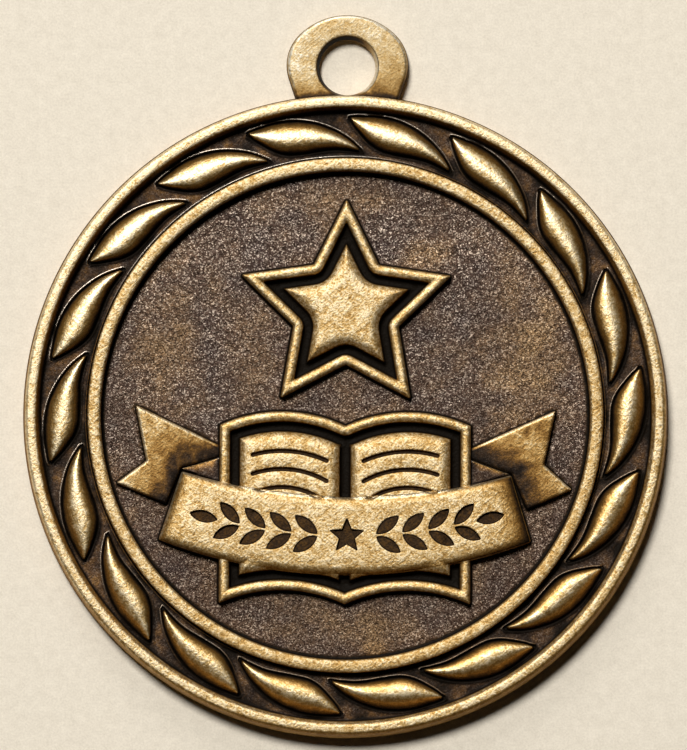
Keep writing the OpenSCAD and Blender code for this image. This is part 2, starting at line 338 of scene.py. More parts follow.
def loop_outline(step=0.14):
    """Oval of four arcs, whose sides lean in below to the disc."""
    cx, cy = LOOP_HW - LOOP_R, LOOP_TOP - LOOP_RISE
    # the top arc touches both side arcs from outside
    k = LOOP_RISE
    R = (k * k - LOOP_R ** 2 + cx * cx) / (2 * (k - LOOP_R))
    cb = cy + k - R
    a = math.atan2(cy - cb, cx)                       # direction in which the arcs meet
    low = -0.36
    right = arc_pts(cx, cy, LOOP_R, low, a, step)
    top = arc_pts(0, cb, R, a, math.pi - a, step)
    left = arc_pts(-cx, cy, LOOP_R, math.pi - a, math.pi - low, step)
    foot = 3.92
    return np.concatenate([right[:-1], top[:-1], left, line_pts(left[-1], (-foot, 24.4), step)[1:],
                           line_pts((-foot, 24.4), (foot, 24.4), 0.4)[1:-1], line_pts((foot, 24.4), right[0], step)[:-1]])

# loop plate by distance inside its outline at the parting line
LOOP = np.array([(0.0, 0.93), (0.02, 0.98), (0.10, 2.08), (0.13, 2.21), (0.175, 2.305), (0.24, 2.362), (0.32, 2.39), (0.42, 2.40), (9, 2.40)])
# hole: distance from its centre, height of the mouth
HOLE = np.array([(0, 1.3), (2.2, 1.3), (2.22, 1.40), (2.37, 2.12), (2.395, 2.23), (2.435, 2.32), (2.49, 2.37), (2.565, 2.394), (2.65, 2.40), (99, 2.40)])

# page lines on the book: capsules along arcs
def page_line_arcs(step=0.16):
    half = BOOK_W / 2
    r = arc_r(half, PAGE_RISE)
    out = []
    for i in (1, 2, 3, 4):
        rc = r - 1.6 - i * 1.42 - 0.17
        x0, x1 = -BOOK_W + 1.6 + 1.05, -0.4 - 1.05
        cy = BOOK_TOP + PAGE_RISE - r
        a0 = math.acos((x0 + half) / rc); a1 = math.acos((x1 + half) / rc)
        p = arc_pts(-half, cy, rc, a0, a1, step)
        out.append(p)
        out.append(p * [-1, 1])
    return out
LINE_R = 0.17

# sunk laurel: leaves as closed outlines
SPRIG_L, SPRIG_W = 2.25, 0.92
def sprig_outlines():
    r = arc_r(SPRIG_L / 2, SPRIG_W / 2)
    sp = math.asin(SPRIG_L / 2 / r)
    up = arc_pts(SPRIG_L / 2, SPRIG_W / 2 - r, r, math.pi / 2 - sp, math.pi / 2 + sp, 0.12)
    lo = arc_pts(SPRIG_L / 2, r - SPRIG_W / 2, r, -math.pi / 2 - sp, -math.pi / 2 + sp, 0.12)
    leaf = np.concatenate([up[:-1], lo[:-1]])
    leaf = round_sharp(ccw(leaf), 0.05, 30, 3)
    out = []
    def put(phi, dy, turn):
        t = math.radians(turn)
        R = np.array([[math.cos(t), -math.sin(t)], [math.sin(t), math.cos(t)]])
        p = leaf @ R.T + [0, dy]
        p = p + [0, -MID[2]]
        f = math.radians(phi)
        F = np.array([[math.cos(f), -math.sin(f)], [math.sin(f), math.cos(f)]])
        return p @ F.T
    base = []
    for i in range(4):
        for s in (-1, 1):
            base.append(put(3.1 + i * 2.75, s * 0.10, s * 36))
    base.append(put(13.7, 0, 0))
    for b in base:
        out.append(ccw(b + [MID[0], MID[1]]))
        out.append(ccw(b * [-1, 1] + [MID[0], MID[1]]))
    st = fillet(ccw(star(1.45, 0.45, MID[0], MID[1] - MID[2])), 0.05, 0.12, 3)
    out.append(st)
    return out


class Shapes: pass
def make_shapes():
    S = Shapes()
    S.star = fillet(ccw(star(STAR_R, STAR_Q, 0, STAR_Y)), 0.15, 0.14, 5)
    S.book = book_outline()
    S.ribbon = ribbon_outline()
    S.tails = tails()
    S.folds = [ccw(np.array(f)) for f in (LEFT_FOLD, RIGHT_FOLD)]
    S.loop = loop_outline()
    S.lines = page_line_arcs()
    S.sprig = sprig_outlines()
    S.leaf = leaf_outline()
    return S

def page_d(P, d):
    """Inside the border line the gutter parts the book's face in two."""
    g = 1.6 + np.abs(P[:, 0]) - 0.4
    return np.where(d > 1.2, np.maximum(np.minimum(d, g), 1.2), d)

def leaf_height(P):
    """Band floor, leaves and the lips around them."""
    z = np.full(len(P), BAND_H)
    R = np.hypot(P[:, 0], P[:, 1])
    m = (R > 20.35) & (R < 23.95)
    if not m.any():
        return z, np.zeros(len(P)), np.full(len(P), 9.0), np.full(len(P), 9.0)
    p = P[m]; r = R[m]
    ang = np.degrees(np.arctan2(p[:, 0], p[:, 1])) % 360
    best = np.full(len(p), BAND_H)
    out_d = np.full(len(p), 9.0)
    crest = np.zeros(len(p)); tt = np.full(len(p), 9.0)
    for k in (0, -1):
        a = ang % 20.0 - 20.0 * k
        ok = (a > A0) & (a < A1)
        up, lo, h = leaf_edges(a)
        t = (2 * r - up - lo) / np.maximum(up - lo, 1e-6)
        inn = ok & (np.abs(t) < 1)
        zz = BAND_H - 0.07 + (h + 0.07) * np.interp(t, LEAF_X[:, 0], LEAF_X[:, 1])
        best = np.where(inn, np.maximum(zz, BAND_H - 0.07), best)
        crest = np.where(inn, h, crest)
        tt = np.where(inn, t, tt)
        near = (a > A0 - 2.5) & (a < A1 + 2.5) & ~inn
        q = pol(a[near], r[near])
        if len(q):
            L = S_.leaf
            out_d[near] = np.minimum(out_d[near], seg_dist(q, L, np.roll(L, -1, 0)))
    lip = BAND_H + np.interp(out_d, LIP[:, 0], LIP[:, 1])
    # the lip sinks away where it runs into the ring or the rim
    fade = np.clip((r - 20.52) / 0.20, 0, 1) * np.clip((23.88 - r) / 0.12, 0, 1)
    lip = BAND_H + (lip - BAND_H) * fade
    res = np.where(crest > 0, best, lip)
    z[m] = res
    full = np.zeros(len(P)); full[m] = crest
    t_all = np.full(len(P), 9.0); t_all[m] = tt
    d_all = np.full(len(P), 9.0); d_all[m] = np.where(crest > 0, 0.0, out_d)
    return z, full, t_all, d_all

S_ = None
def height(P, want=False):
    global S_
    if S_ is None:
        S_ = make_shapes()
    S = S_
    R = np.hypot(P[:, 0], P[:, 1])
    z = np.interp(R, RADIAL_A[:, 0], RADIAL_A[:, 1])
    lz, lm, lt, lo_d = leaf_height(P)
    band = (R > 20.35) & (R < 23.95)
    base = z
    z = np.where(band, np.maximum(z + (lz - BAND_H) * ((z < 2.06) | (lm > 0)), np.where(lm > 0, lz, 0)), z)
    # loop
    outside = R > 25.0
    ld = sdf(P, S.loop, 1.0)
    zl = np.where(ld > -1e-6, np.interp(ld, LOOP[:, 0], LOOP[:, 1]), 0.0)
    rh = np.hypot(P[:, 0], P[:, 1] - HOLE_Y)
    zl = np.minimum(zl, np.interp(rh, HOLE[:, 0], HOLE[:, 1]))
    disc = np.where(R <= EDGE_R + 1e-6, z, 0.0)
    z = np.where(ld > -1e-6, np.maximum(disc, zl), disc)
    # under the hole's mouth the disc's edge is cut straight
    cut = (R > 25.1) & (rh < 2.5)
    z = np.where(cut, np.minimum(z, np.maximum(zl, np.interp(rh, [2.2, 2.26], [1.3, 3.0]))), z)
    # star and book
    inner = R < 19.2
    d_s = sdf(P, S.star, 0.3)
    d_b = sdf(P, S.book, 0.3)
    ze = np.interp(d_s, EMBLEM[:, 0], EMBLEM[:, 1])
    zb = np.interp(page_d(P, d_b), EMBLEM[:, 0], EMBLEM[:, 1])
    e_line = np.full(len(P), -9.0)
    mb = d_b > 1.5
    if mb.any():
        q = P[mb]; dd = np.full(len(q), 9.0)
        for arc in S.lines:
            dd = np.minimum(dd, seg_dist(q, arc[:-1], arc[1:]))
        e_line[mb] = LINE_R - dd
    zb = zb - INLAY_D * np.interp(e_line, POCKET[:, 0], POCKET[:, 1])
    emb = np.maximum(ze, zb)
    z = np.where(inner & ((d_s > -0.2) | (d_b > -0.2)), np.maximum(np.where(z < 1.95, emb, z), emb), z)
    # tails and folds
    x, y = P[:, 0], P[:, 1]
    S.dr0 = sdf(P, S.ribbon, 2.0)
    for side, tail, fold in ((-1, S.tails[0], S.folds[0]), (1, S.tails[1], S.folds[1])):
        dt = sdf(P, tail, 0.3)
        inw = np.clip((14.2 - np.abs(x)) / 4.6, 0, 1)
        top = 2.36 - 0.26 * inw ** 1.6
        zt = FIELD_H + (top - FIELD_H) * np.interp(dt, PLATE[:, 0], PLATE[:, 1])
        df = sdf(P, fold, 0.3)
        near_rib = np.clip((S.dr0 + 1.5) / 1.5, 0, 1)
        zf = FIELD_H + (0.13 + 0.08 * near_rib ** 2) * np.interp(df, PLATE[:, 0], PLATE[:, 1])
        use = (d_b < 0.0) & inner
        z = np.where(use & (dt > -0.16), np.maximum(z, zt), z)
        z = np.where(use & (df > -0.16), np.maximum(z, zf), z)
    # ribbon
    dr = sdf(P, S.ribbon, 0.3)
    def end(p, q):
        p, q = np.array(p), np.array(q)
        n = np.array([-(q - p)[1], (q - p)[0]]); n = n / np.hypot(*n)
        return np.abs((P - p) @ n)
    sl, sr = end(RB[0], RB[1]), end(RB[3], RB[2])
    curl = np.interp(sl, [0, .2, .5, .9, 1.4, 2.0, 2.8], [.50, .36, .22, .12, .05, .015, 0]) + \
        np.interp(sr, [0, .25, .6, 1.1, 1.8, 2.6, 3.4], [.46, .35, .23, .13, .05, .015, 0])
    # the panel is bowed: it rolls off along its lower edge and a little along its upper edge
    low_d = LOWER[2] - np.hypot(x - LOWER[0], y - LOWER[1])
    up_d = np.hypot(x - UPPER[0], y - UPPER[1]) - UPPER[2]
    bow = np.interp(low_d, [0, .25, .55, .95, 1.4, 2.0], [.17, .115, .065, .028, .008, 0]) + np.interp(up_d, [0, .2, .5, .9], [.06, .032, .01, 0])
    top = 2.95 - np.minimum(curl + bow, 0.55)
    zr = FIELD_H + (top - FIELD_H) * np.interp(dr, RIBBON[:, 0], RIBBON[:, 1])
    mr = dr > 0.3
    e = np.full(len(P), -9.0)
    if mr.any():
        q = P[mr]; ee = np.full(len(q), -9.0)
        for o in S.sprig:
            ee = np.maximum(ee, sdf(q, o, 0.1))
        e[mr] = ee
    zr = zr - INLAY_D * np.interp(e, POCKET[:, 0], POCKET[:, 1])
    z = np.where(dr > -0.2, np.maximum(z, zr), z)
    # the medal's own levels
    chart = z
    z = level(chart)
    lz2 = loop_level(zl)
    m = (ld > -1e-6) & (R > 24.9)
    z = np.where(m, np.maximum(level(disc), lz2), z)
    z = np.where(cut, np.minimum(z, np.maximum(lz2, np.interp(rh, [2.2, 2.26], [HOLE_Z, TOP_Z]))), z)
    if want:
        return z, dict(chart=chart, R=R, d_s=d_s, d_b=d_b, dr=dr, e=e, e_line=e_line, ld=ld, leaf=lm, leaf_t=lt, lip_d=lo_d)
    return z


def build_rows():
    """Points and edges that follow every outline, so that the mesh has its edges where the relief has them."""
    global S_
    S = S_ = make_shapes()
    pts, edges = [], []
    count = [0]
    def add(p, keep=None, closed=False):
        p = np.asarray(p, float)
        if len(p) < 2:
            return
        n = len(p)
        k = np.ones(n, bool) if keep is None else keep
        idx = np.full(n, -1)
        idx[k] = np.arange(k.sum()) + count[0]
        pts.append(p[k])
        count[0] += int(k.sum())
        j = np.arange(n if closed else n - 1)
        a, b = idx[j], idx[(j + 1) % n]
        ok = (a >= 0) & (b >= 0)
        edges.append(np.stack([a[ok], b[ok]], 1))

    rh = lambda p: np.hypot(p[:, 0], p[:, 1] - HOLE_Y)
    rr = lambda p: np.hypot(p[:, 0], p[:, 1])
    # boundary: the disc's edge and the loop
    L = S.loop
    c = rr(L)
    first = next(i for i in range(len(L)) if c[i] >= EDGE_R and c[i - 1] < EDGE_R)
    run = []
    i = first
    while c[i % len(L)] >= EDGE_R:
        run.append(L[i % len(L)]); i += 1
    def cross(a, b):
        lo, hi = 0.0, 1.0
        for _ in range(50):
            m = (lo + hi) / 2
            q = a + (b - a) * m
            if (np.hypot(*q) >= EDGE_R) == (np.hypot(*b) >= EDGE_R): hi = m
            else: lo = m
        return a + (b - a) * hi
    j0 = cross(L[first - 1], run[0])
    j1 = cross(L[i % len(L)], run[-1])
    loop_run = np.array([j0] + [p for p in run if min(np.hypot(*(p - j0)), np.hypot(*(p - j1))) > 0.05] + [j1])
    a0, a1 = math.atan2(j1[1], j1[0]), math.atan2(j0[1], j0[0])
    if a1 < a0: a1 += 2 * math.pi
    arc = arc_pts(0, 0, EDGE_R, a0, a1, 0.36)
    boundary = np.concatenate([loop_run[:-1], arc[:-1]])
    add(boundary, closed=True)
    hole = arc_pts(0, HOLE_Y, HOLE_R, 0, 2 * math.pi, 0.12)[:-1]
    add(hole, closed=True)
    # circles of the blank
    for k, (R, _) in enumerate(RADIAL[1:-1]):
        n = 420 if R > 22 else 380
        a = np.linspace(0, 2 * math.pi, n + 1)[:-1] + (0.5 * 2 * math.pi / n) * (k % 2)
        p = np.stack([R * np.cos(a), R * np.sin(a)], 1)
        keep = np.ones(n, bool)
        if R > 25.14:
            keep = (sdf(p, S.loop, 1.0) < -0.01)
        keep &= rh(p) > HOLE_R + 0.03
        add(p, keep, closed=True)
    for R in (25.175, 25.21, 25.25):
        a = np.linspace(math.radians(78), math.radians(102), 90)
        p = np.stack([R * np.cos(a), R * np.sin(a)], 1)
        add(p, (sdf(p, S.loop, 1.0) > 0.05) & (rh(p) > HOLE_R + 0.05))
    # loop and hole
    for d in LOOP[1:-1, 0]:
        p = offset(S.loop, d)
        add(p, (rr(p) > 25.20) & (rh(p) > HOLE_R + 0.03), closed=True)
    for r in HOLE[2:-1, 0]:
        p = arc_pts(0, HOLE_Y, r, 0, 2 * math.pi, 0.16)[:-1]
        add(p, rr(p) > 25.19, closed=True)
    # leaves
    up, lo, h = leaf_edges(LEAF_A)
    tl = LEAF_X[:, 0]
    leaf = S.leaf
    lips = [offset(leaf, -d) for d in LIP[1:-1, 0]]
    for k in range(18):
        rot = math.radians(-20.0 * k)
        Rm = np.array([[math.cos(rot), -math.sin(rot)], [math.sin(rot), math.cos(rot)]]).T
        for n, t in enumerate(tl):
            r = lo + (up - lo) * (t + 1) / 2
            w = (up - lo)
            # inner lines stop where the leaf is too narrow for them
            gap = 0.5 * w * min(abs(t - tl[n - 1]) if n else 9, abs(tl[n + 1] - t) if n + 1 < len(tl) else 9)
            keep = gap > 0.035 if 0 < n < len(tl) - 1 else np.ones(len(r), bool)
            if 0 < n < len(tl) - 1 and abs(t) > 0.5:
                keep = gap > 0.022
            add(pol(LEAF_A, r) @ Rm, keep)
        for p in lips:
            q = p @ Rm
            c_ = rr(q)
            add(q[::2] if len(q) % 2 == 0 else q, ((c_ > 20.54) & (c_ < 23.86))[::2] if len(q) % 2 == 0 else (c_ > 20.54) & (c_ < 23.86), closed=True)
    # emblem
    def free_of_ribbon(p, m=0.03):
        return sdf(p, S.ribbon, 0.3) < m
    for d in EMBLEM[:-1, 0]:
        p = offset(S.star, d)
        if len(p): add(p, closed=True)
        p = offset(S.book, d)
        if len(p):
            k = free_of_ribbon(p)
            if d > 1.25:
                k &= np.abs(p[:, 0]) > 0.4 + d - 1.6
            add(p, k, closed=True)
        if d > 1.25:
            for s in (-1, 1):
                x = s * (0.4 + d - 1.6)
                q = line_pts((x, BOOK_BOT), (x, BOOK_TOP + 2), 0.35)
                dd = sdf(q, S.book, 0.3)
                k = (dd > d) & free_of_ribbon(q)
                add(q, k)
    for arc in S.lines:
        n = normals_open(arc)
        for d in (-0.07, -0.02, 0.0, 0.035, 0.06, 0.10):
            r = LINE_R - d
            a0 = math.atan2(*(-n[-1])[::-1]); a1 = math.atan2(*(n[0])[::-1])
            cap1 = cap(arc[-1], n[-1], r); cap0 = cap(arc[0], -n[0], r)
            p = np.concatenate([arc + n * r, cap1, (arc - n * r)[::-1], cap0])
            add(p, free_of_ribbon(p), closed=True)
    # ribbon, its ends and its sunk ornament
    for d in RIBBON[:-1, 0]:
        p = offset(S.ribbon, d)
        add(p, closed=True)
    for (p0, p1), rows in (((RB[0], RB[1]), (0.2, 0.5, 0.9, 1.4, 2.0, 2.8)), ((RB[3], RB[2]), (0.25, 0.6, 1.1, 1.8, 2.6, 3.4))):
        p0, p1 = np.array(p0), np.array(p1)
        t = (p1 - p0) / np.hypot(*(p1 - p0))
        n = np.array([t[1], -t[0]])
        if n @ (np.array([0, -8.0]) - p0) < 0: n = -n
        for s in rows:
            q = line_pts(p0 + n * s - t * 1.5, p1 + n * s + t * 1.5, 0.3)
            e = np.max([sdf(q, o, 0.2) for o in S.sprig], 0)
            add(q, (sdf(q, S.ribbon, 0.3) > 0.12) & (e < -0.1))
    for c, sg, rows in ((LOWER, -1, (0.75, 0.95, 1.4, 2.0)), (UPPER, 1, (0.75, 0.9))):
        for s in rows:
            q = arc_between((c[0], c[1], c[2] + sg * s), -14.5, 14.5, 0.33)
            e = np.max([sdf(q, o, 0.2) for o in S.sprig], 0)
            add(q, (sdf(q, S.ribbon, 0.3) > 0.66) & (e < -0.12))
    for o in S.sprig:
        for d in POCKET[:-1, 0]:
            p = offset(o, d, 0.004)
            add(p, closed=True)
    # tails and folds
    for t in S.tails + S.folds:
        for d in PLATE[:-1, 0]:
            p = offset(t, d)
            if len(p):
                add(p, free_of_ribbon(p, 0.0) & (sdf(p, S.book, 0.3) < 0.0), closed=True)
    for t in S.tails:
        for x in (10.2, 10.8, 11.5, 12.3, 13.2, 14.2):
            for s in (-1, 1):
                q = line_pts((s * x, -8), (s * x, 1), 0.4)
                add(q, (sdf(q, t, 0.3) > 0.22) & free_of_ribbon(q, -0.05))
    P = np.concatenate(pts); E = np.concatenate(edges)
    return P, E, boundary, hole

def normals_open(p):
    t = np.gradient(p, axis=0)
    t /= np.hypot(t[:, 0], t[:, 1])[:, None]
    return np.stack([-t[:, 1], t[:, 0]], 1)

def cap(c, n, r, seg=6):
    """Half circle about c from c + n r to c - n r, on the side that n turned clockwise points to."""
    a0 = math.atan2(n[1], n[0])
    a = np.linspace(a0, a0 - math.pi, seg + 2)[1:-1]
    return np.stack([c[0] + r * np.cos(a), c[1] + r * np.sin(a)], 1)


# ------------------------------------------------------------------ noise on points
def lattice_noise(P, size, seed):
    """Smooth noise in -1..1 on 2D points, with cells of the given size."""
    rng = np.random.RandomState(seed)
    G = rng.uniform(-1, 1, (257, 257))
    q = P / size + 1000.0
    i = np.floor(q).astype(int)
    f = q - i
    f = f * f * (3 - 2 * f)
    i %= 256
    a = G[i[:, 0], i[:, 1]]; b = G[i[:, 0] + 1, i[:, 1]]
    c = G[i[:, 0], i[:, 1] + 1]; d = G[i[:, 0] + 1, i[:, 1] + 1]
    return (a * (1 - f[:, 0]) + b * f[:, 0]) * (1 - f[:, 1]) + (c * (1 - f[:, 0]) + d * f[:, 0]) * f[:, 1]

# ------------------------------------------------------------------ the medal's mesh
def hex_points(step, seed, jitter):
    rng = np.random.RandomState(seed)
    xs = np.arange(-26, 26, step)
    ys = np.arange(-26, 32, step * 0.866)
    X, Y = np.meshgrid(xs, ys)
    X[1::2] += step / 2
    P = np.stack([X.ravel(), Y.ravel()], 1)
    return P + rng.uniform(-jitter, jitter, P.shape) * step

def far_from(P, Q, gap):
    """The points of Q that keep a gap from all points P."""
    tree = kdtree.KDTree(len(P))
    for i, p in enumerate(P):
        tree.insert((p[0], p[1], 0), i)
    tree.balance()
    return np.array([q for q in Q if tree.find((q[0], q[1], 0))[2] > gap])

def field_mask(P):
    """1 on the open stippled field, 0 elsewhere."""
    S = S_
    R = np.hypot(P[:, 0], P[:, 1])
    m = R < 18.95
    for o in [S.star, S.book, S.ribbon] + S.tails + S.folds:
        m &= sdf(P, o, 0.3) < -0.16
    return m

def build_medal():
    P, E, boundary, hole = build_rows()
    # stipple points on the field, and a wider net for the casting's waviness elsewhere
    stip = hex_points(0.205, 11, 0.33)
    stip = stip[np.hypot(stip[:, 0], stip[:, 1]) < 18.93]
    stip = stip[field_mask(stip)]
    stip = far_from(P, stip, 0.11)
    net = hex_points(0.62, 12, 0.25)
    R = np.hypot(net[:, 0], net[:, 1])
    on = (R < 25.0) | (sdf(net, S_.loop, 1.0) > 0.3)
    on &= np.hypot(net[:, 0], net[:, 1] - HOLE_Y) > HOLE_R + 0.3
    net = net[on]
    net = far_from(np.concatenate([P, stip]), net, 0.2)
    allp = np.concatenate([P, stip, net])
    out = delaunay_2d_cdt([Vector(p) for p in allp.tolist()], E.tolist(), [], 0, 1e-4, False)
    Q = np.array([tuple(v) for v in out[0]])
    F = np.array([f for f in out[2] if len(f) == 3])
    cen = Q[F].mean(1)
    rc = np.hypot(cen[:, 0], cen[:, 1])
    keep = np.ones(len(F), bool)
    edge = rc > 25.2
    keep[edge] = inside(cen[edge], boundary)
    keep &= ~((np.hypot(cen[:, 0], cen[:, 1] - HOLE_Y) < HOLE_R) & inside_all(cen, hole))
    F = F[keep]
    # turn every triangle anticlockwise
    a, b, c = Q[F[:, 0]], Q[F[:, 1]], Q[F[:, 2]]
    ar = 0.5 * ((b[:, 0] - a[:, 0]) * (c[:, 1] - a[:, 1]) - (c[:, 0] - a[:, 0]) * (b[:, 1] - a[:, 1]))
    F[ar < 0] = F[ar < 0][:, [0, 2, 1]]
    used = np.unique(F)
    remap = np.full(len(Q), -1); remap[used] = np.arange(len(used))
    Q, F = Q[used], remap[F]
    z, info = height(Q, want=True)
    # boundary edges of the front, in order
    e = np.concatenate([F[:, [0, 1]], F[:, [1, 2]], F[:, [2, 0]]])
    key = e[:, 0].astype(np.int64) * len(Q) + e[:, 1]
    rev = e[:, 1].astype(np.int64) * len(Q) + e[:, 0]
    open_e = e[~np.isin(key, rev)]
    nxt = dict(open_e.tolist())
    loops, seen = [], set()
    for s in open_e[:, 0].tolist():
        if s in seen:
            continue
        run, v = [], s
        while v not in seen:
            seen.add(v); run.append(v); v = nxt[v]
        loops.append(run)
    loops.sort(key=len, reverse=True)
    outer, inner = loops[0], loops[1]
    print("front", len(Q), "verts", len(F), "tris; open loops", [len(l) for l in loops], round(time.time() - T0, 1), "s")
    z[outer] = PART_Z1
    z[inner] = HOLE_Z
    # casting waviness and stipple
    flat = np.ones(len(Q))
    stip_w = np.zeros(len(Q))
    m = field_mask(Q) & (info["R"] < 18.9)
    stip_w[m] = 1.0
    rng = np.random.RandomState(5)
    jit = rng.uniform(-1, 1, len(Q))
    z = z + stip_w * (jit * 0.040 + 0.015 * lattice_noise(Q, 0.9, 8))
    inn = np.ones(len(Q)); inn[outer] = 0; inn[inner] = 0
    z = z + inn * (1 - stip_w) * (0.0045 * lattice_noise(Q, 1.7, 1) + 0.0025 * lattice_noise(Q, 0.6, 2)) - 0.003 * inn * (1 - stip_w)
    z = np.minimum(z, TOP_Z)
    # back: flat, with a drafted edge down from the parting line
    bp = Q[outer]; hp = Q[inner]
    rows_b, edges_b, cnt = [bp, hp], [], len(bp) + len(hp)
    nb, nh = len(bp), len(hp)
    edges_b.append(np.stack([np.arange(nb), (np.arange(nb) + 1) % nb], 1))
    edges_b.append(np.stack([np.arange(nh), (np.arange(nh) + 1) % nh], 1) + nb)
    BACK = np.array([(0.0, 0.60), (0.02, 0.54), (0.09, 0.14), (0.13, 0.05), (0.19, 0.01), (0.27, 0.0)])
    BACKH = np.array([(0.0, 0.30), (0.02, 0.26), (0.12, 0.08), (0.16, 0.03), (0.23, 0.0)])
    ob = ccw(bp)
    for d in BACK[1:, 0]:
        q = offset(ob, d, 0.006)
        rows_b.append(q); edges_b.append(np.stack([np.arange(len(q)), (np.arange(len(q)) + 1) % len(q)], 1) + cnt); cnt += len(q)
    for d in BACKH[1:, 0]:
        q = arc_pts(0, HOLE_Y, HOLE_R + d, 0, 2 * math.pi, 0.16)[:-1]
        rows_b.append(q); edges_b.append(np.stack([np.arange(len(q)), (np.arange(len(q)) + 1) % len(q)], 1) + cnt); cnt += len(q)
    PB = np.concatenate(rows_b)
    netb = hex_points(1.3, 13, 0.2)
    netb = netb[inside_all(netb, ob)]
    netb = netb[(sdf(netb, ob, 2.0) > 0.6) & (np.hypot(netb[:, 0], netb[:, 1] - HOLE_Y) > HOLE_R + 0.6)]
    allb = np.concatenate([PB, netb])
    outb = delaunay_2d_cdt([Vector(p) for p in allb.tolist()], np.concatenate(edges_b).tolist(), [], 0, 1e-5, True)
    QB = np.array([tuple(v) for v in outb[0]])
    FB = np.array([f for f in outb[2] if len(f) == 3])
    cen = QB[FB].mean(1)
    kb = inside_all(cen, ob) & ~inside_all(cen, hp)
    FB = FB[kb]
    src = {}
    for new, olds in enumerate(outb[3]):
        for o in olds:
            src[o] = new
    db = seg_dist(QB, ob, np.roll(ob, -1, 0))
    rb = np.hypot(QB[:, 0], QB[:, 1] - HOLE_Y) - HOLE_R
    zb = np.maximum(np.interp(db, BACK[:, 0], BACK[:, 1]), np.interp(rb, BACKH[:, 0], BACKH[:, 1]))
    deep = (db > 0.5) & (rb > 0.5)
    zb = zb + np.where(deep, 0.004 + 0.004 * lattice_noise(QB, 3.1, 21), 0)
    for i in range(nb): zb[src[i]] = PART_Z0
    for i in range(nh): zb[src[nb + i]] = 0.30
    a, b, c = QB[FB[:, 0]], QB[FB[:, 1]], QB[FB[:, 2]]
    ar = 0.5 * ((b[:, 0] - a[:, 0]) * (c[:, 1] - a[:, 1]) - (c[:, 0] - a[:, 0]) * (b[:, 1] - a[:, 1]))
    FB[ar > 0] = FB[ar > 0][:, [0, 2, 1]]
    n0 = len(Q)
    V = np.concatenate([np.column_stack([Q, z]), np.column_stack([QB, zb])])
    side = []
    for off, run in ((0, outer), (nb, inner)):
        n = len(run)
        for i in range(n):
            f0, f1 = run[i], run[(i + 1) % n]
            b0, b1 = n0 + src[off + i], n0 + src[off + (i + 1) % n]
            side.append((f1, f0, b0)); side.append((f1, b0, b1))
    F3 = np.concatenate([F, FB + n0, np.array(side)])
    info["stip"] = stip_w
    info["z"] = info["chart"]
    info["Q"] = Q
    info["n0"] = n0
    info["QB"], info["zb"], info["db"] = QB, zb, db
    return V, F3, info

def inside_all(P, poly):
    lo, hi = poly.min(0), poly.max(0)
    out = np.zeros(len(P), bool)
    m = np.all((P >= lo) & (P <= hi), 1)
    out[m] = inside(P[m], poly)
    return out
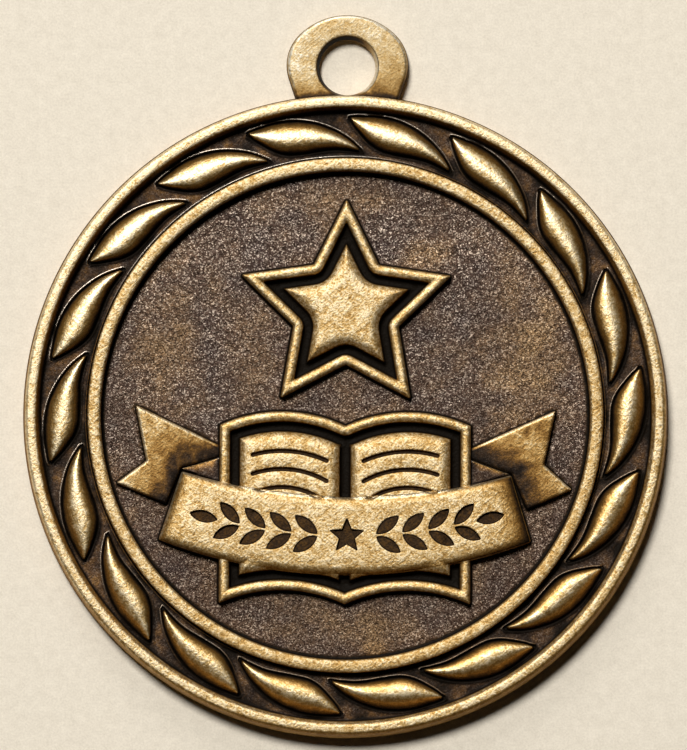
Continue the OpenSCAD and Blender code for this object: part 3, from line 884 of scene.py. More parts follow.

# ------------------------------------------------------------------ where the finish is worn or stained, and where highlights and shade are painted on
def finish_maps(info):
    """Per point: how far the gold is rubbed bare, with painted highlights and shade mixed in; the painted shade in the
    corners, with the dark patina of the sunk ornament; where the field's stipple is; how soiled a place is; the gloss,
    with painted glints and highlights.
    """
    Q, z, R = info["Q"], info["z"], info["R"]
    x, y = Q[:, 0], Q[:, 1]
    n = len(Q)
    # wear: high parts are rubbed bright, floors keep their dark finish
    wear_and_light = np.interp(z, [1.90, 1.98, 2.10, 2.30, 2.50, 2.75, 3.0], [0.16, 0.19, 0.30, 0.55, 0.78, 0.86, 0.95])
    # leaves are rubbed from crest to flank
    leaf = info["leaf"] > 0
    at = np.abs(info["leaf_t"])
    wl = np.interp(at, [0.0, 0.35, 0.60, 0.76, 0.88, 0.95, 1.0], [0.98, 0.86, 0.62, 0.42, 0.27, 0.14, 0.07])
    wl = wl * np.interp(info["leaf"], [0.06, 0.26, 0.44], [0.45, 0.78, 1.0])
    # painted shade: the flank of a leaf that slopes away from the light is made darker; up is the direction, seen from
    # above, that the light comes from
    up = np.array([-0.41, 0.91])
    facing_away_from_light = np.where(leaf, (leaf_height(Q + 0.05 * up)[0] - leaf_height(Q - 0.05 * up)[0]) / 0.10, 0.0)
    wl = wl - 0.24 * np.clip(1.6 * facing_away_from_light, 0, 1) * np.interp(at, [0.05, 0.3, 0.7, 1.0], [0, 1, 0.7, 0]) + 0.10 * lattice_noise(Q, 0.55, 44) * np.interp(at, [0.2, 0.6], [0, 1])
    wear_and_light = np.where(leaf, wl, wear_and_light)
    # painted highlight: the crest of the lip outside a leaf is lit up as a thin glint
    ld = info["lip_d"]
    lip = np.interp(ld, [0.09, 0.145, 0.215, 0.29], [0, 1, 1, 0]) * (~leaf) * (z > 2.02) * (R > 20.52) * (R < 23.82)
    # painted light: every lip is bright on the side that faces the light and dark on the side turned from it, and
    # lighter towards the upper left
    up = np.array([-0.41, 0.91])
    lip_facing_light = np.where(ld < 0.6, (leaf_height(Q + 0.02 * up)[3] - ld) / 0.02, 0.0)
    lip_lit_side = np.clip(0.62 + 0.75 * np.clip(lip_facing_light, -1, 1), 0.04, 1.0)
    lip = lip * lip_lit_side * np.clip(0.80 + 0.17 * (-0.6 * x + 0.8 * y) / 22.0, 0.6, 1.0)
    # painted highlight on the lip at the ring's foot, only on the side that faces the light
    ring_foot_lit_side = np.clip(1.9 * ((x * up[0] + y * up[1]) / np.maximum(R, 1) - 0.42), 0.03, 1.0)
    ring_lip_highlight = (~leaf) * np.interp(R, [20.31, 20.35, 20.42, 20.47], [0, 1, 1, 0]) * ring_foot_lit_side
    wear_and_light = np.maximum(wear_and_light, lip * 0.30)
    wear_and_light = np.maximum(wear_and_light, 0.32 * ring_lip_highlight)
    # painted shade on the band floor: darker next to the leaves, the ring and the rim, lighter in the open; blotched at
    # random
    floor = (R > 20.3) & (R < 23.98) & (~leaf) & (z < 2.09) & (lip < 0.3)
    open_k = np.clip(np.minimum(np.minimum(ld, 0.75), np.minimum(R - 20.35, 23.95 - R)) / 0.65, 0, 1)
    blot = lattice_noise(Q, 1.3, 41)
    wear_and_light = np.where(floor, np.clip(0.03 + 0.19 * open_k + 0.19 * blot + 0.13 * lattice_noise(Q, 0.45, 42), 0.0, 1), wear_and_light)
    grey = np.where(floor, np.clip(0.06 + 0.42 * open_k + 0.30 * blot, 0, 0.65), 0.0)
    # loop: plate rubbed bright, browner towards the disc and darker towards its right; painted light in the hole's
    # mouth, bright on the side that faces the light and dark on the other
    loop = (info["ld"] > 0.0) & (R > 25.15)
    loop_wear_and_light = np.interp(z, [0.9, 1.4, 2.1, 2.35], [0.60, 0.50, 0.64, 0.76])
    mouth = np.hypot(x, y - HOLE_Y) < 2.47
    lit = np.clip((0.80 * x - 0.60 * (y - HOLE_Y)) / 2.4, -1, 1)
    loop_wear_and_light = np.where(mouth, np.clip(np.interp(z, [1.3, 1.7, 2.1, 2.3], [0.38, 0.42, 0.48, 0.58]) + 0.70 * lit, 0.24, 1), loop_wear_and_light)
    loop_wear_and_light = loop_wear_and_light - 0.24 * np.clip((27.0 - y) / 1.5, 0, 1) * (1 - mouth * np.clip(2 * lit, 0, 1))
    loop_wear_and_light = loop_wear_and_light - 0.12 * np.clip((x - 0.5) / 3.5, 0, 1) * (info["ld"] > 0.3) + 0.10 * lattice_noise(Q @ np.array([[0.75, 0.66], [-0.66, 0.75]]) * (0.45, 1.0), 0.8, 71) * (~mouth)
    # painted highlight along the loop's outer edge where it faces the light, painted shade where it is turned away
    loop_edge_to_light = (x * up[0] + (y - HOLE_Y) * up[1]) / np.maximum(np.hypot(x, y - HOLE_Y), 0.5)
    loop_edge_highlight = np.interp(info["ld"], [0.07, 0.12, 0.24, 0.32], [0, 1, 1, 0])
    loop_edge_lit_side = np.clip(0.55 + 0.9 * loop_edge_to_light, 0.0, 1.0) * np.clip(0.75 + 0.7 * lattice_noise(Q, 0.5, 72), 0, 1)
    loop_wear_and_light = loop_wear_and_light + loop_edge_highlight * (0.50 * loop_edge_lit_side - 0.22 * (1 - loop_edge_lit_side))
    wear_and_light = np.where(loop, loop_wear_and_light, wear_and_light)
    # the disc's edge: a painted highlight on the rim's outer bead where it faces the light, painted shade on the bead
    # and on the rim's inner wall where they are turned from it
    edge = (R > 25.10) & ~loop
    low = np.clip(0.5 - y / 30.0, 0, 1)
    bead_highlight = np.interp(R, [24.84, 24.91, 25.03, 25.09], [0, 1, 1, 0]) * (~loop) * np.clip(0.45 + 0.8 * (x * up[0] + y * up[1]) / np.maximum(R, 1), 0, 1)
    bead_highlight = bead_highlight * np.clip(0.7 + 0.8 * lattice_noise(Q, 0.45, 73), 0, 1)
    wear_and_light = wear_and_light + 0.35 * bead_highlight
    rim_side_to_light = (x * up[0] + y * up[1]) / np.maximum(R, 1)
    wear_and_light = wear_and_light - 0.40 * np.interp(R, [24.76, 24.90], [0, 1]) * (R < 25.12) * (~loop) * np.clip(0.15 - rim_side_to_light, 0, 1)
    inner_wall_shade = np.interp(R, [24.0, 24.04, 24.20, 24.27], [0, 1, 1, 0]) * (~leaf)
    wear_and_light = wear_and_light - inner_wall_shade * 0.55 * np.clip(0.55 + 1.1 * rim_side_to_light, 0, 1)
    wear_and_light = np.where(edge, np.interp(z, [0.9, 1.2, 2.4, 2.8, 2.95], [0.14, 0.14, 0.22, 0.86, 1.0]) + low * np.interp(z, [2.2, 2.8], [0.42, 0.0]), wear_and_light)
    wear_and_light = np.where(loop & (z < 2.0) & (np.hypot(x, y - HOLE_Y) > 2.5), 0.20, wear_and_light)
    # sunk ornament and page lines keep a dark floor
    pocket = np.clip(np.interp(info["e"], [-0.02, 0.05], [0, 1]) + np.interp(info["e_line"], [-0.02, 0.05], [0, 1]) * (info["dr"] < -0.05), 0, 1)
    wear_and_light = wear_and_light * (1 - pocket) + 0.29 * pocket
    # tails keep more of the dark finish than the panel, with painted shade next to the ribbon and the folds and over
    # the right tail, and a painted highlight on the tail edges that face the light
    t = np.zeros(n); tail_edge_highlight = np.zeros(n); t_out = np.full(n, -9.0)
    def facing(o):
        """How much of the light a wall of this outline catches: 1 for a wall that faces it, 0 for one that faces away."""
        f_ = (sdf(Q, o, 0.6) - sdf(Q + 0.02 * up, o, 0.6)) / 0.02
        return np.clip(0.22 + 0.95 * f_, 0.0, 1.0)
    under = sdf(Q, S_.ribbon, 3.6)
    for o in S_.folds:
        under = np.maximum(under, sdf(Q, o, 3.6))
    free = (info["d_b"] < 0) & (info["dr"] < 0.0)
    for o in S_.tails:
        d = sdf(Q, o, 0.6)
        t_out = np.maximum(t_out, d)
        t = np.maximum(t, (d > 0.0) & free)
        tail_edge_highlight = np.maximum(tail_edge_highlight, np.interp(d, [0.01, 0.06, 0.17, 0.26], [0, 1, 1, 0]) * facing(o))
    tail_wear_and_shade = np.interp(-under * np.where(x > 0, 1.35, 1.0), [0.0, 0.45, 1.2, 2.2, 3.4], [0.04, 0.09, 0.28, 0.58, 0.76]) - 0.12 * (x > 0)
    tail_wear_and_shade = tail_wear_and_shade + 0.10 * lattice_noise(Q, 1.3, 61) + 0.20 * lattice_noise(Q, 0.42, 62)
    wear_and_light = np.where(t > 0, np.clip(tail_wear_and_shade + 0.75 * tail_edge_highlight, 0, 1), wear_and_light)
    grey = np.where(t > 0, 0.12, grey)
    f = np.zeros(n)
    for o in S_.folds:
        f = np.maximum(f, (sdf(Q, o, 0.3) > 0.0) & free & (t < 1))
    # painted highlight along the edge of each fold next to its tail
    fold_edge_highlight = np.zeros(n)
    for o in S_.folds:
        fold_edge_highlight = np.maximum(fold_edge_highlight, np.interp(-t_out, [-0.01, 0.03, 0.13, 0.20], [0, 1, 1, 0]) * (f > 0))
    wear_and_light = np.where(f > 0, 0.15 + 0.07 * lattice_noise(Q, 0.5, 63) + 0.65 * fold_edge_highlight, wear_and_light)
    grey = np.where(f > 0, 0.55 * (1 - fold_edge_highlight), grey)
    # the ribbon, the ring and the raised faces keep a deeper gold than the rim
    wear_and_light = wear_and_light - 0.07 * (info["dr"] > 0.1) * (pocket < 0.1)
    wear_and_light = wear_and_light - 0.04 * ((R > 19.2) & (R < 20.25)) - 0.05 * ((R < 19.0) & (z > 2.6) & (info["dr"] < 0.0))
    # painted shade on the rolled ends of the ribbon, most at the right end, and a painted highlight on its upper edge,
    # where it faces the light
    rib = info["dr"] > 0.1
    roll = np.clip((2.93 - z) / 0.42, 0, 1) * np.interp(x, [-14, -8, 8], [0.25, 0.5, 1.0])
    wear_and_light = np.where(rib, wear_and_light - 0.62 * roll * (pocket < 0.1), wear_and_light)
    ribbon_edge_highlight = np.interp(info["dr"], [0.0, 0.05, 0.17, 0.25], [0, 1, 1, 0]) * facing(S_.ribbon)
    wear_and_light = wear_and_light + 0.60 * ribbon_edge_highlight
    # painted shade in the corners: along the feet of the walls, in the groove and in the crevice around a leaf, beside
    # each leaf on the side turned from the light and in the hole's mouth on that side; the sunk ornament's dark patina
    # is added here too
    shade_and_patina = np.zeros(n)
    field = (R < 19.15)
    shade_and_patina = np.maximum(shade_and_patina, np.where(field, np.interp(R, [18.86, 18.98, 19.08, 19.17], [0, 0.4, 0.9, 1.0]), 0))
    def out(d, reach, top):
        return np.interp(d, [-reach, -0.45 * reach, -0.12 * reach, 0.06, 0.14], [0, 0.45 * top, top, top, 0])
    low = z < 2.15
    for d in (info["d_s"], info["d_b"], info["dr"]):
        shade_and_patina = np.maximum(shade_and_patina, out(d, 0.24, 1.0) * low * field)
    shade_and_patina = np.maximum(shade_and_patina, out(t_out, 0.20, 0.8) * low * field * free * (1 - 0.9 * fold_edge_highlight))
    for d in (info["d_s"], page_d(Q, info["d_b"])):
        g = np.interp(d, [0.80, 0.90, 1.0, 1.25, 1.5, 1.6, 1.68], [0, 0.9, 1.0, 0.80, 1.0, 0.9, 0])
        shade_and_patina = np.maximum(shade_and_patina, g * (info["dr"] < -0.02) * (z < 2.5))
    band = (R > 20.18) & (R < 23.98) & ~leaf
    shade_and_patina = np.maximum(shade_and_patina, band * np.interp(R, [20.18, 20.23, 20.29, 20.33], [0.2, 0.9, 0.7, 0.0]))
    shade_and_patina = np.maximum(shade_and_patina, band * np.interp(R, [23.78, 23.88, 23.95, 24.02], [0.0, 0.6, 1.0, 0.5]))
    shade_and_patina = np.maximum(shade_and_patina, band * np.interp(ld, [0.0, 0.07, 0.12], [1.0, 0.85, 0.0]))
    # painted shade beside each leaf on the side turned from the light
    shade_and_patina = np.maximum(shade_and_patina, band * (z < 2.2) * (1 - lip_lit_side) * np.interp(ld, [0.10, 0.22, 0.36], [0.9, 0.7, 0.0]))
    shade_and_patina = np.maximum(shade_and_patina, leaf * np.interp(at, [0.86, 0.96, 1.0], [0.0, 0.35, 0.9]))
    shade_and_patina = np.maximum(shade_and_patina, pocket * 0.25)
    shade_and_patina = np.maximum(shade_and_patina, np.interp(info["e"], [-0.03, 0.0, 0.06, 0.12], [0, 0.9, 0.8, 0.0]))
    shade_and_patina = np.maximum(shade_and_patina, mouth * (info["ld"] > 0) * np.interp(z, [2.1, 2.3], [0.65, 0.0]) * np.clip(-lit * 1.5, 0, 1))
    # painted shade at the foot of the loop against the disc
    foot = loop & (R < 25.62) & (z > 1.2)
    shade_and_patina = np.maximum(shade_and_patina, np.where(loop & (z > 1.2), np.interp(R, [25.15, 25.27, 25.55], [1.0, 0.75, 0.0]), 0))
    # painted light: the whole piece is lighter towards the upper left, where the light comes from, than towards the
    # lower right
    wear_and_light = wear_and_light * (1 + 0.07 * np.clip((-0.5 * x + 0.86 * y) / 25.0, -1, 1))
    # the sunk field: its stains, from violet grey (0) over brown to gold (1)
    def blob(cx, cy, rx, ry, turn=0.0):
        c, s_ = math.cos(turn), math.sin(turn)
        u, v = (x - cx) * c + (y - cy) * s_, -(x - cx) * s_ + (y - cy) * c
        q = np.hypot(u / rx, v / ry) + 0.30 * lattice_noise(Q, 1.6, 31) + 0.12 * lattice_noise(Q, 0.5, 32)
        return np.clip(1.35 - q, 0, 1)
    stain = 0.24 + 0.18 * lattice_noise(Q, 3.4, 33) + 0.16 * lattice_noise(Q, 1.3, 34)
    stain = stain + 0.48 * blob(14.2, 5.2, 3.3, 5.0) + 0.46 * blob(-14.2, 5.2, 3.0, 3.6) + 0.40 * blob(-0.9, 16.9, 5.0, 1.7)
    stain = stain + 0.46 * blob(0.4, -16.7, 5.0, 1.5) + 0.60 * blob(2.3, -18.3, 1.0, 0.6) + 0.30 * blob(-11.3, 1.0, 1.5, 1.0) + 0.30 * blob(6.2, 12.5, 2.0, 1.5)
    wear_and_light = np.where(info["stip"] > 0.5, np.clip(stain, 0, 1), wear_and_light)
    # gloss: polished crests of the leaves, fine edges; values above 1 also paint a neutral highlight colour on the lit
    # lips and edges
    gloss_and_glint = np.where(leaf, 1.0, 0.0)
    gloss_and_glint = np.maximum(gloss_and_glint, 2 * lip)
    gloss_and_glint = np.maximum(gloss_and_glint, np.interp(R, [24.05, 24.15, 24.38, 24.5, 24.6, 25.12, 25.2], [0, 0.35, 0.1, 0.0, 0.2, 0.6, 0]))
    gloss_and_glint = np.where(loop, loop_edge_highlight * loop_edge_lit_side * 0.95 + 0.95 * mouth * np.clip(2.5 * lit, 0, 1), gloss_and_glint)
    gloss_and_glint = np.maximum(gloss_and_glint, 2 * ring_lip_highlight)
    gloss_and_glint = np.maximum(gloss_and_glint, 0.95 * bead_highlight)
    for d in (info["d_s"], info["d_b"]):
        gloss_and_glint = np.maximum(gloss_and_glint, np.interp(d, [0.02, 0.10, 0.75, 0.85], [0, 0.5, 0.5, 0]) * (info["dr"] < 0))
    gloss_and_glint = np.maximum(gloss_and_glint, np.maximum(1.3 * ribbon_edge_highlight, np.maximum(1.6 * fold_edge_highlight, 0.95 * tail_edge_highlight * (t > 0))))
    # on the field the same value says how much it sparkles: painted glints, more of them towards the top and its upper
    # sides
    glint = 0.52 + 0.14 * y / 19.0 + 0.30 * (y > 0) * np.clip(np.abs(x) / 9.0, 0, 1) * np.clip((y - 7) / 6.0, 0, 1) + 0.26 * lattice_noise(Q, 2.6, 51)
    gloss_and_glint = np.where(info["stip"] > 0.5, np.clip(glint, 0, 1), gloss_and_glint)
    return np.clip(wear_and_light, 0, 1), np.clip(shade_and_patina, 0, 1), np.maximum(info["stip"], grey), pocket, gloss_and_glint

def make_mesh():
    V, F, info = build_medal()
    wear_and_light, shade_and_patina, stip, pocket, gloss_and_glint = finish_maps(info)
    me = bpy.data.meshes.new("medal_body")
    me.from_pydata((V * 0.001).tolist(), [], F.tolist())
    me.update()
    n = len(V); n0 = info["n0"]
    col = np.zeros((n, 4), np.float32)
    col[:n0, 0], col[:n0, 1], col[:n0, 2] = wear_and_light, shade_and_patina, stip
    col[:n0, 3] = gloss_and_glint
    zb = info["zb"]
    col[n0:, 0] = np.interp(zb, [0.0, 0.02, 0.15, 0.58], [0.72, 0.85, 0.60, 0.50])
    col[n0:, 1] = 0.0
    col[n0:, 3] = 0.0
    at = me.color_attributes.new("relief", "FLOAT_COLOR", "POINT")
    at.data.foreach_set("color", col.ravel())
    p = me.attributes.new("sunk_ornament", "FLOAT", "POINT")
    pp = np.zeros(n, np.float32); pp[:n0] = pocket
    p.data.foreach_set("value", pp)
    me.validate()
    me.polygons.foreach_set("use_smooth", [True] * len(me.polygons))
    me.set_sharp_from_angle(angle=math.radians(62))
    ob = bpy.data.objects.new("medal_body", me)
    bpy.context.scene.collection.objects.link(ob)
    print("mesh", len(me.vertices), "verts", len(me.polygons), "faces", round(time.time() - T0, 1), "s")
    return ob

# ------------------------------------------------------------------ materials
def nodes_of(name):
    m = bpy.data.materials.new(name)
    m.use_nodes = True
    t = m.node_tree
    t.nodes.clear()
    return m, t

class N:
    """Short way to add and join nodes."""
    def __init__(self, tree):
        self.t = tree
    def add(self, kind, **kw):
        n = self.t.nodes.new(kind)
        for k, v in kw.items():
            setattr(n, k, v)
        return n
    def link(self, a, b):
        self.t.links.new(a, b)
    def math(self, op, a, b=None, c=None, clamp=False):
        n = self.t.nodes.new("ShaderNodeMath"); n.operation = op; n.use_clamp = clamp
        for i, v in enumerate((a, b, c)):
            if v is None: continue
            if isinstance(v, (int, float)): n.inputs[i].default_value = v
            else: self.link(v, n.inputs[i])
        return n.outputs[0]
    def noise(self, vec, size_mm, detail=3.0, rough=0.55, dist=0.0):
        n = self.t.nodes.new("ShaderNodeTexNoise")
        n.inputs["Scale"].default_value = 1.0 / (size_mm * 0.001)
        n.inputs["Detail"].default_value = detail
        n.inputs["Roughness"].default_value = rough
        n.inputs["Distortion"].default_value = dist
        self.link(vec, n.inputs["Vector"])
        return n.outputs["Fac"]
    def swing(self, fac, amount):
        """Noise about 0: (fac - 0.5) * amount."""
        return self.math("MULTIPLY", self.math("SUBTRACT", fac, 0.5), amount)
    def ramp(self, fac, stops, mode="LINEAR"):
        n = self.t.nodes.new("ShaderNodeValToRGB")
        n.color_ramp.interpolation = mode
        cr = n.color_ramp
        while len(cr.elements) < len(stops): cr.elements.new(0.5)
        for e, (p, c) in zip(cr.elements, stops):
            e.position = p
            e.color = (c[0], c[1], c[2], 1) if not isinstance(c, (int, float)) else (c, c, c, 1)
        self.link(fac, n.inputs[0])
        return n.outputs[0]
    def mix(self, fac, a, b, mode="MIX"):
        n = self.t.nodes.new("ShaderNodeMix"); n.data_type = "RGBA"; n.blend_type = mode
        if isinstance(fac, (int, float)): n.inputs[0].default_value = fac
        else: self.link(fac, n.inputs[0])
        for i, v in ((6, a), (7, b)):
            if isinstance(v, tuple): n.inputs[i].default_value = (*v, 1)
            else: self.link(v, n.inputs[i])
        return n.outputs[2]

G_GRAIN, G_MID, G_FINE, G_SCR = 0.90, 0.72, 1.10, 0.85
B_FINE, B_GRAIN, B_MID, B_SCR, B_STIP = 4.0, 5.0, 3.4, 4.0, 11.0
R_BRIGHT, R_MID, R_DARK, R_GLOSS = 0.62, 0.62, 0.60, 0.12
def bronze():
    m, t = nodes_of("antique_bronze")
    g = N(t)
    out = g.add("ShaderNodeOutputMaterial")
    bs = g.add("ShaderNodeBsdfPrincipled")
    g.link(bs.outputs[0], out.inputs[0])
    tc = g.add("ShaderNodeTexCoord").outputs["Object"]
    at = g.add("ShaderNodeAttribute", attribute_name="relief")
    sp = g.add("ShaderNodeSeparateColor")
    g.link(at.outputs["Color"], sp.inputs[0])
    wear_and_light, shade_and_patina, stip = sp.outputs[0], sp.outputs[1], sp.outputs[2]
    gloss_and_glint_in = g.math("MINIMUM", at.outputs["Alpha"], 1.0)
    fine = g.noise(tc, 0.15, 2, 0.6)
    grain = g.noise(tc, 0.38, 3, 0.65)
    mid = g.noise(tc, 1.15, 4, 0.65)
    big = g.noise(tc, 4.2, 4, 0.6)
    huge = g.noise(tc, 13.0, 3, 0.5)
    # scratches: noise stretched along the rising diagonal
    def along(deg, stretch, size):
        a = g.add("ShaderNodeMapping"); a.inputs["Rotation"].default_value = (0, 0, math.radians(-deg))
        b = g.add("ShaderNodeMapping"); b.inputs["Scale"].default_value = (1.0 / stretch, 1.0, 1.0)
        g.link(tc, a.inputs[0]); g.link(a.outputs[0], b.inputs[0])
        return g.noise(b.outputs[0], size, 2, 0.55)
    scr = g.math("ADD", g.math("MULTIPLY", along(42, 6, 0.16), 0.55), g.math("MULTIPLY", along(-35, 6, 0.18), 0.45))
    # mottled wear: the rubbed gold breaks up into the dark finish, most where it is thickest
    amp = g.ramp(wear_and_light, [(0.0, 0.25), (0.30, 0.35), (0.60, 0.60), (0.90, 1.0)])
    v = g.math("ADD", g.swing(grain, G_GRAIN), g.swing(mid, G_MID))
    v = g.math("ADD", v, g.swing(fine, G_FINE))
    v = g.math("ADD", v, g.swing(scr, G_SCR))
    amp = g.math("MULTIPLY", amp, g.math("SUBTRACT", 1.0, g.math("MULTIPLY", gloss_and_glint_in, 0.25)))
    # the loop's plate is smoother than the struck face
    pos = g.add("ShaderNodeSeparateXYZ")
    g.link(tc, pos.inputs[0])
    rad = g.math("SQRT", g.math("ADD", g.math("MULTIPLY", pos.outputs[0], pos.outputs[0]), g.math("MULTIPLY", pos.outputs[1], pos.outputs[1])))
    on_loop = g.ramp(g.math("MULTIPLY", rad, 20.0), [(0.5055, 0.0), (0.508, 1.0)])
    calm = g.math("SUBTRACT", 1.0, g.math("MULTIPLY", on_loop, 0.42))
    amp = g.math("MULTIPLY", amp, calm)
    w = g.math("ADD", wear_and_light, g.math("MULTIPLY", v, amp))
    # painted shade: where the shade channel is set the colour is darkened
    w = g.math("SUBTRACT", w, g.math("MULTIPLY", shade_and_patina, 0.30))
    w = g.math("MULTIPLY", w, g.math("SUBTRACT", 1.0, g.math("MULTIPLY", shade_and_patina, 0.70)), clamp=True)
    speck = g.noise(tc, 0.36, 2, 0.5)
    w = g.math("SUBTRACT", w, g.math("MULTIPLY", g.ramp(speck, [(0.20, 1.0), (0.31, 0.0)]), g.math("MULTIPLY", amp, 0.34)), clamp=True)
    metal = g.ramp(w, [(0.0, (0.006, 0.0040, 0.0022)), (0.16, (0.040, 0.0225, 0.0105)), (0.30, (0.114, 0.056, 0.0145)),
                       (0.46, (0.275, 0.142, 0.034)), (0.66, (0.475, 0.295, 0.100)), (0.84, (0.66, 0.485, 0.238)), (1.0, (0.85, 0.715, 0.480))])
    metal = g.mix(on_loop, metal, g.mix(1.0, metal, (0.93, 1.02, 1.26), "MULTIPLY"))
    # painted highlight: lips and edges that face the light get a neutral highlight colour
    neutral_highlight = g.math("SUBTRACT", at.outputs["Alpha"], 1.0, clamp=True)
    metal = g.mix(g.math("MULTIPLY", neutral_highlight, 0.85), metal, (0.40, 0.36, 0.31))
    gloss_and_glint = gloss_and_glint_in
    # sunk field: dark violet brown with warm stains and small painted glints on its grains
    sf = g.noise(tc, 0.13, 2, 0.6)
    vo = g.add("ShaderNodeTexVoronoi")
    vo.inputs["Scale"].default_value = 1.0 / 0.00009
    g.link(tc, vo.inputs["Vector"])
    vs = g.add("ShaderNodeSeparateColor")
    g.link(vo.outputs["Color"], vs.inputs[0])
    cell = vs.outputs[0]
    st = g.math("ADD", wear_and_light, g.math("ADD", g.swing(mid, 0.62), g.swing(big, 0.42)))
    fld = g.ramp(st, [(0.0, (0.070, 0.049, 0.044)), (0.28, (0.118, 0.075, 0.054)), (0.58, (0.205, 0.126, 0.072)), (1.0, (0.35, 0.215, 0.103))])
    glint_colour = g.ramp(st, [(0.0, (0.60, 0.50, 0.42)), (0.5, (0.66, 0.51, 0.375)), (1.0, (0.76, 0.545, 0.32))])
    glint_fleck = g.math("MULTIPLY", g.ramp(cell, [(0.0, 0.0), (0.68, 0.0), (1.0, 1.0)]), g.math("ADD", g.math("MULTIPLY", gloss_and_glint, 0.75), 0.34), clamp=True)
    fld = g.mix(glint_fleck, fld, glint_colour)
    fld = g.mix(g.ramp(cell, [(0.0, 0.92), (0.48, 0.0)]), fld, (0.024, 0.013, 0.009))
    fld = g.mix(g.ramp(sf, [(0.34, 0.60), (0.50, 0.0)]), fld, (0.032, 0.018, 0.012))
    fld = g.mix(g.ramp(grain, [(0.36, 0.50), (0.50, 0.0)]), fld, (0.034, 0.020, 0.013))
    # painted light: the field is lighter towards its top, as if lit more there
    shade = g.math("ADD", g.math("MULTIPLY", pos.outputs[1], 0.08 / 0.019), 1.0)
    fld = g.mix(1.0, fld, g.ramp(shade, [(0.5, 0.5), (1.0, 1.0)]), "MULTIPLY")
    # painted shade on the field along its walls and outlines
    fld = g.mix(shade_and_patina, fld, (0.010, 0.007, 0.006))
    col = g.mix(stip, metal, fld)
    g.link(col, bs.inputs["Base Color"])
    # the dark finish is a thin tarnish: less metallic than the rubbed gold
    me = g.ramp(w, [(0.0, 0.20), (0.30, 0.55), (0.55, 1.0)])
    me = g.math("ADD", g.math("MULTIPLY", me, g.math("SUBTRACT", 1.0, stip)), g.math("MULTIPLY", stip, 0.62))
    me = g.math("ADD", me, neutral_highlight, clamp=True)
    g.link(me, bs.inputs["Metallic"])
    bs.inputs["Specular IOR Level"].default_value = 0.07
    r = g.math("ADD", g.ramp(w, [(0.0, R_DARK), (0.5, R_MID), (1.0, R_BRIGHT)]), g.swing(grain, 0.20))
    r = g.math("SUBTRACT", r, g.math("MULTIPLY", gloss_and_glint, R_GLOSS))
    r = g.math("SUBTRACT", r, g.math("MULTIPLY", neutral_highlight, 0.18))
    r = g.math("SUBTRACT", r, g.math("MULTIPLY", stip, 0.12))
    g.link(r, bs.inputs["Roughness"])
    # bump: cast grain and fine scratches
    b = g.add("ShaderNodeBump")
    b.inputs["Strength"].default_value = 1.0
    b.inputs["Distance"].default_value = 0.00001
    hgt = g.math("ADD", g.math("MULTIPLY", fine, B_FINE), g.math("MULTIPLY", grain, B_GRAIN))
    hgt = g.math("ADD", hgt, g.math("MULTIPLY", mid, B_MID))
    hgt = g.math("ADD", hgt, g.math("MULTIPLY", scr, B_SCR))
    hgt = g.math("ADD", hgt, g.math("MULTIPLY", g.math("MULTIPLY", sf, stip), B_STIP))
    hgt = g.math("MULTIPLY", hgt, g.math("SUBTRACT", 1.0, g.math("MULTIPLY", gloss_and_glint, 0.40)))
    hgt = g.math("MULTIPLY", hgt, calm)
    g.link(hgt, b.inputs["Height"])
    g.link(b.outputs[0], bs.inputs["Normal"])
    return m

def paper():
    m, t = nodes_of("pale_paper")
    g = N(t)
    out = g.add("ShaderNodeOutputMaterial")
    bs = g.add("ShaderNodeBsdfPrincipled")
    g.link(bs.outputs[0], out.inputs[0])
    tc = g.add("ShaderNodeTexCoord").outputs["Object"]
    a = g.noise(tc, 0.9, 4, 0.75)
    b_ = g.noise(tc, 0.17, 2, 0.6)
    s = g.math("ADD", g.math("MULTIPLY", a, 0.48), g.math("MULTIPLY", b_, 0.52))
    g.link(g.ramp(s, [(0.33, (0.745, 0.680, 0.572)), (0.67, (0.920, 0.850, 0.728))]), bs.inputs["Base Color"])
    bs.inputs["Roughness"].default_value = 0.9
    bs.inputs["Specular IOR Level"].default_value = 0.2
    b = g.add("ShaderNodeBump")
    b.inputs["Strength"].default_value = 0.35
    b.inputs["Distance"].default_value = 0.00004
    g.link(s, b.inputs["Height"])
    g.link(b.outputs[0], bs.inputs["Normal"])
    return m

# ------------------------------------------------------------------ the piece
medal = make_mesh()
medal.data.materials.append(bronze())
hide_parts("medal")
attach(medal, "root")

# ------------------------------------------------------------------ stage
fm = bpy.data.meshes.new("floor")
h = 0.6
fm.from_pydata([(-h, -h, 0), (h, -h, 0), (h, h, 0), (-h, h, 0)], [], [(0, 1, 2, 3)])
floor = bpy.data.objects.new("floor", fm)
bpy.context.scene.collection.objects.link(floor)
fm.materials.append(paper())

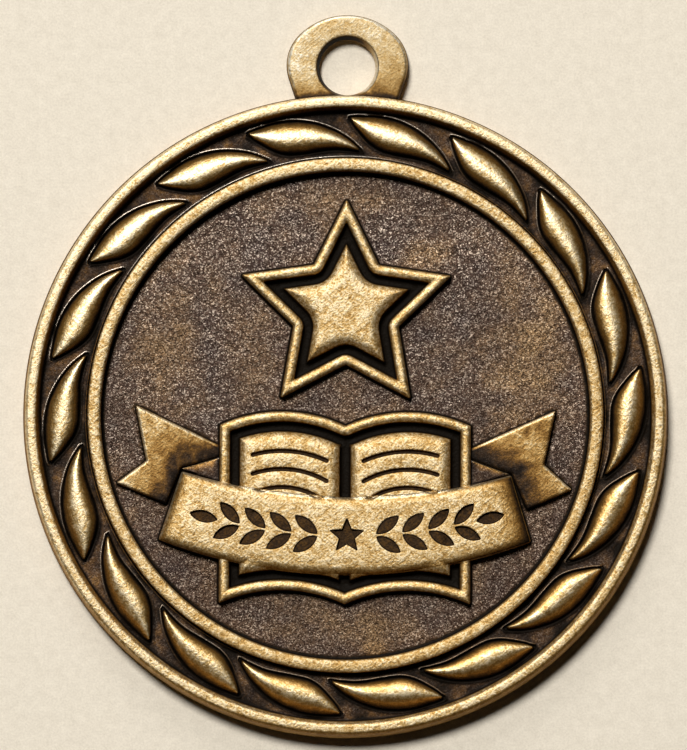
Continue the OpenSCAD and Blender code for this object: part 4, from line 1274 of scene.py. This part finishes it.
def softbox(name, off, side, dist, radius, radiance, color):
    """Round softbox: off degrees from straight up, side degrees anticlockwise from +X, radiance of its face."""
    o, s = math.radians(off), math.radians(side)
    loc = Vector((math.sin(o) * math.cos(s), math.sin(o) * math.sin(s), math.cos(o))) * dist
    l = bpy.data.lights.new(name, "AREA")
    l.shape = "DISK"; l.size = 2 * radius; l.color = color
    l.energy = radiance * math.pi * math.pi * radius * radius
    ob = bpy.data.objects.new(name, l)
    ob.location = loc
    ob.rotation_euler = (-loc).to_track_quat("-Z", "Y").to_euler()
    bpy.context.scene.collection.objects.link(ob)
    return ob

KEY, TOP, FILL, BACK = 47.5, 0.010, 0.0036, 5.0
softbox("key", 30, 114, 1.50, 0.22, KEY, (1.0, 0.975, 0.93))
softbox("top", 8, 120, 1.50, 0.68, TOP, (1.0, 0.98, 0.95))
softbox("back", 62, 100, 1.50, 0.35, BACK, (1.0, 0.98, 0.95))
world = bpy.data.worlds.new("studio")
bpy.context.scene.world = world
world.use_nodes = True
world.node_tree.nodes["Background"].inputs[0].default_value = (1.0, 0.80, 0.60, 1)
world.node_tree.nodes["Background"].inputs[1].default_value = FILL
bpy.context.scene.view_settings.view_transform = "Standard"

# ------------------------------------------------------------------ camera: almost straight above, as in the photo
PX = 0.0784e-3
el = math.radians(86.2)
dist = 0.55
ROLL = math.radians(0.33)
ox, oy = 2.0 * PX, -40.0 * PX                # where the disc's centre is in the picture, from its middle
aim = Vector((-(ox * math.cos(ROLL) - oy * math.sin(ROLL)), -(ox * math.sin(ROLL) + oy * math.cos(ROLL)), 0.0015))
cam = bpy.data.cameras.new("camera")
co = bpy.data.objects.new("camera", cam)
bpy.context.scene.collection.objects.link(co)
co.location = aim + Vector((0, -math.cos(el), math.sin(el))) * dist
q = (aim - co.location).to_track_quat("-Z", "Y")
co.rotation_euler = (q @ Quaternion((0, 0, 1), ROLL)).to_euler()
cam.sensor_fit = "AUTO"
cam.sensor_width = 36.0
cam.lens = 36.0 * dist / (750 * PX)
cam.clip_start = 0.01
cam.clip_end = 10
cam.dof.use_dof = False
bpy.context.scene.camera = co
bpy.context.view_layer.update()

print("scene made in", round(time.time() - T0, 1), "s")
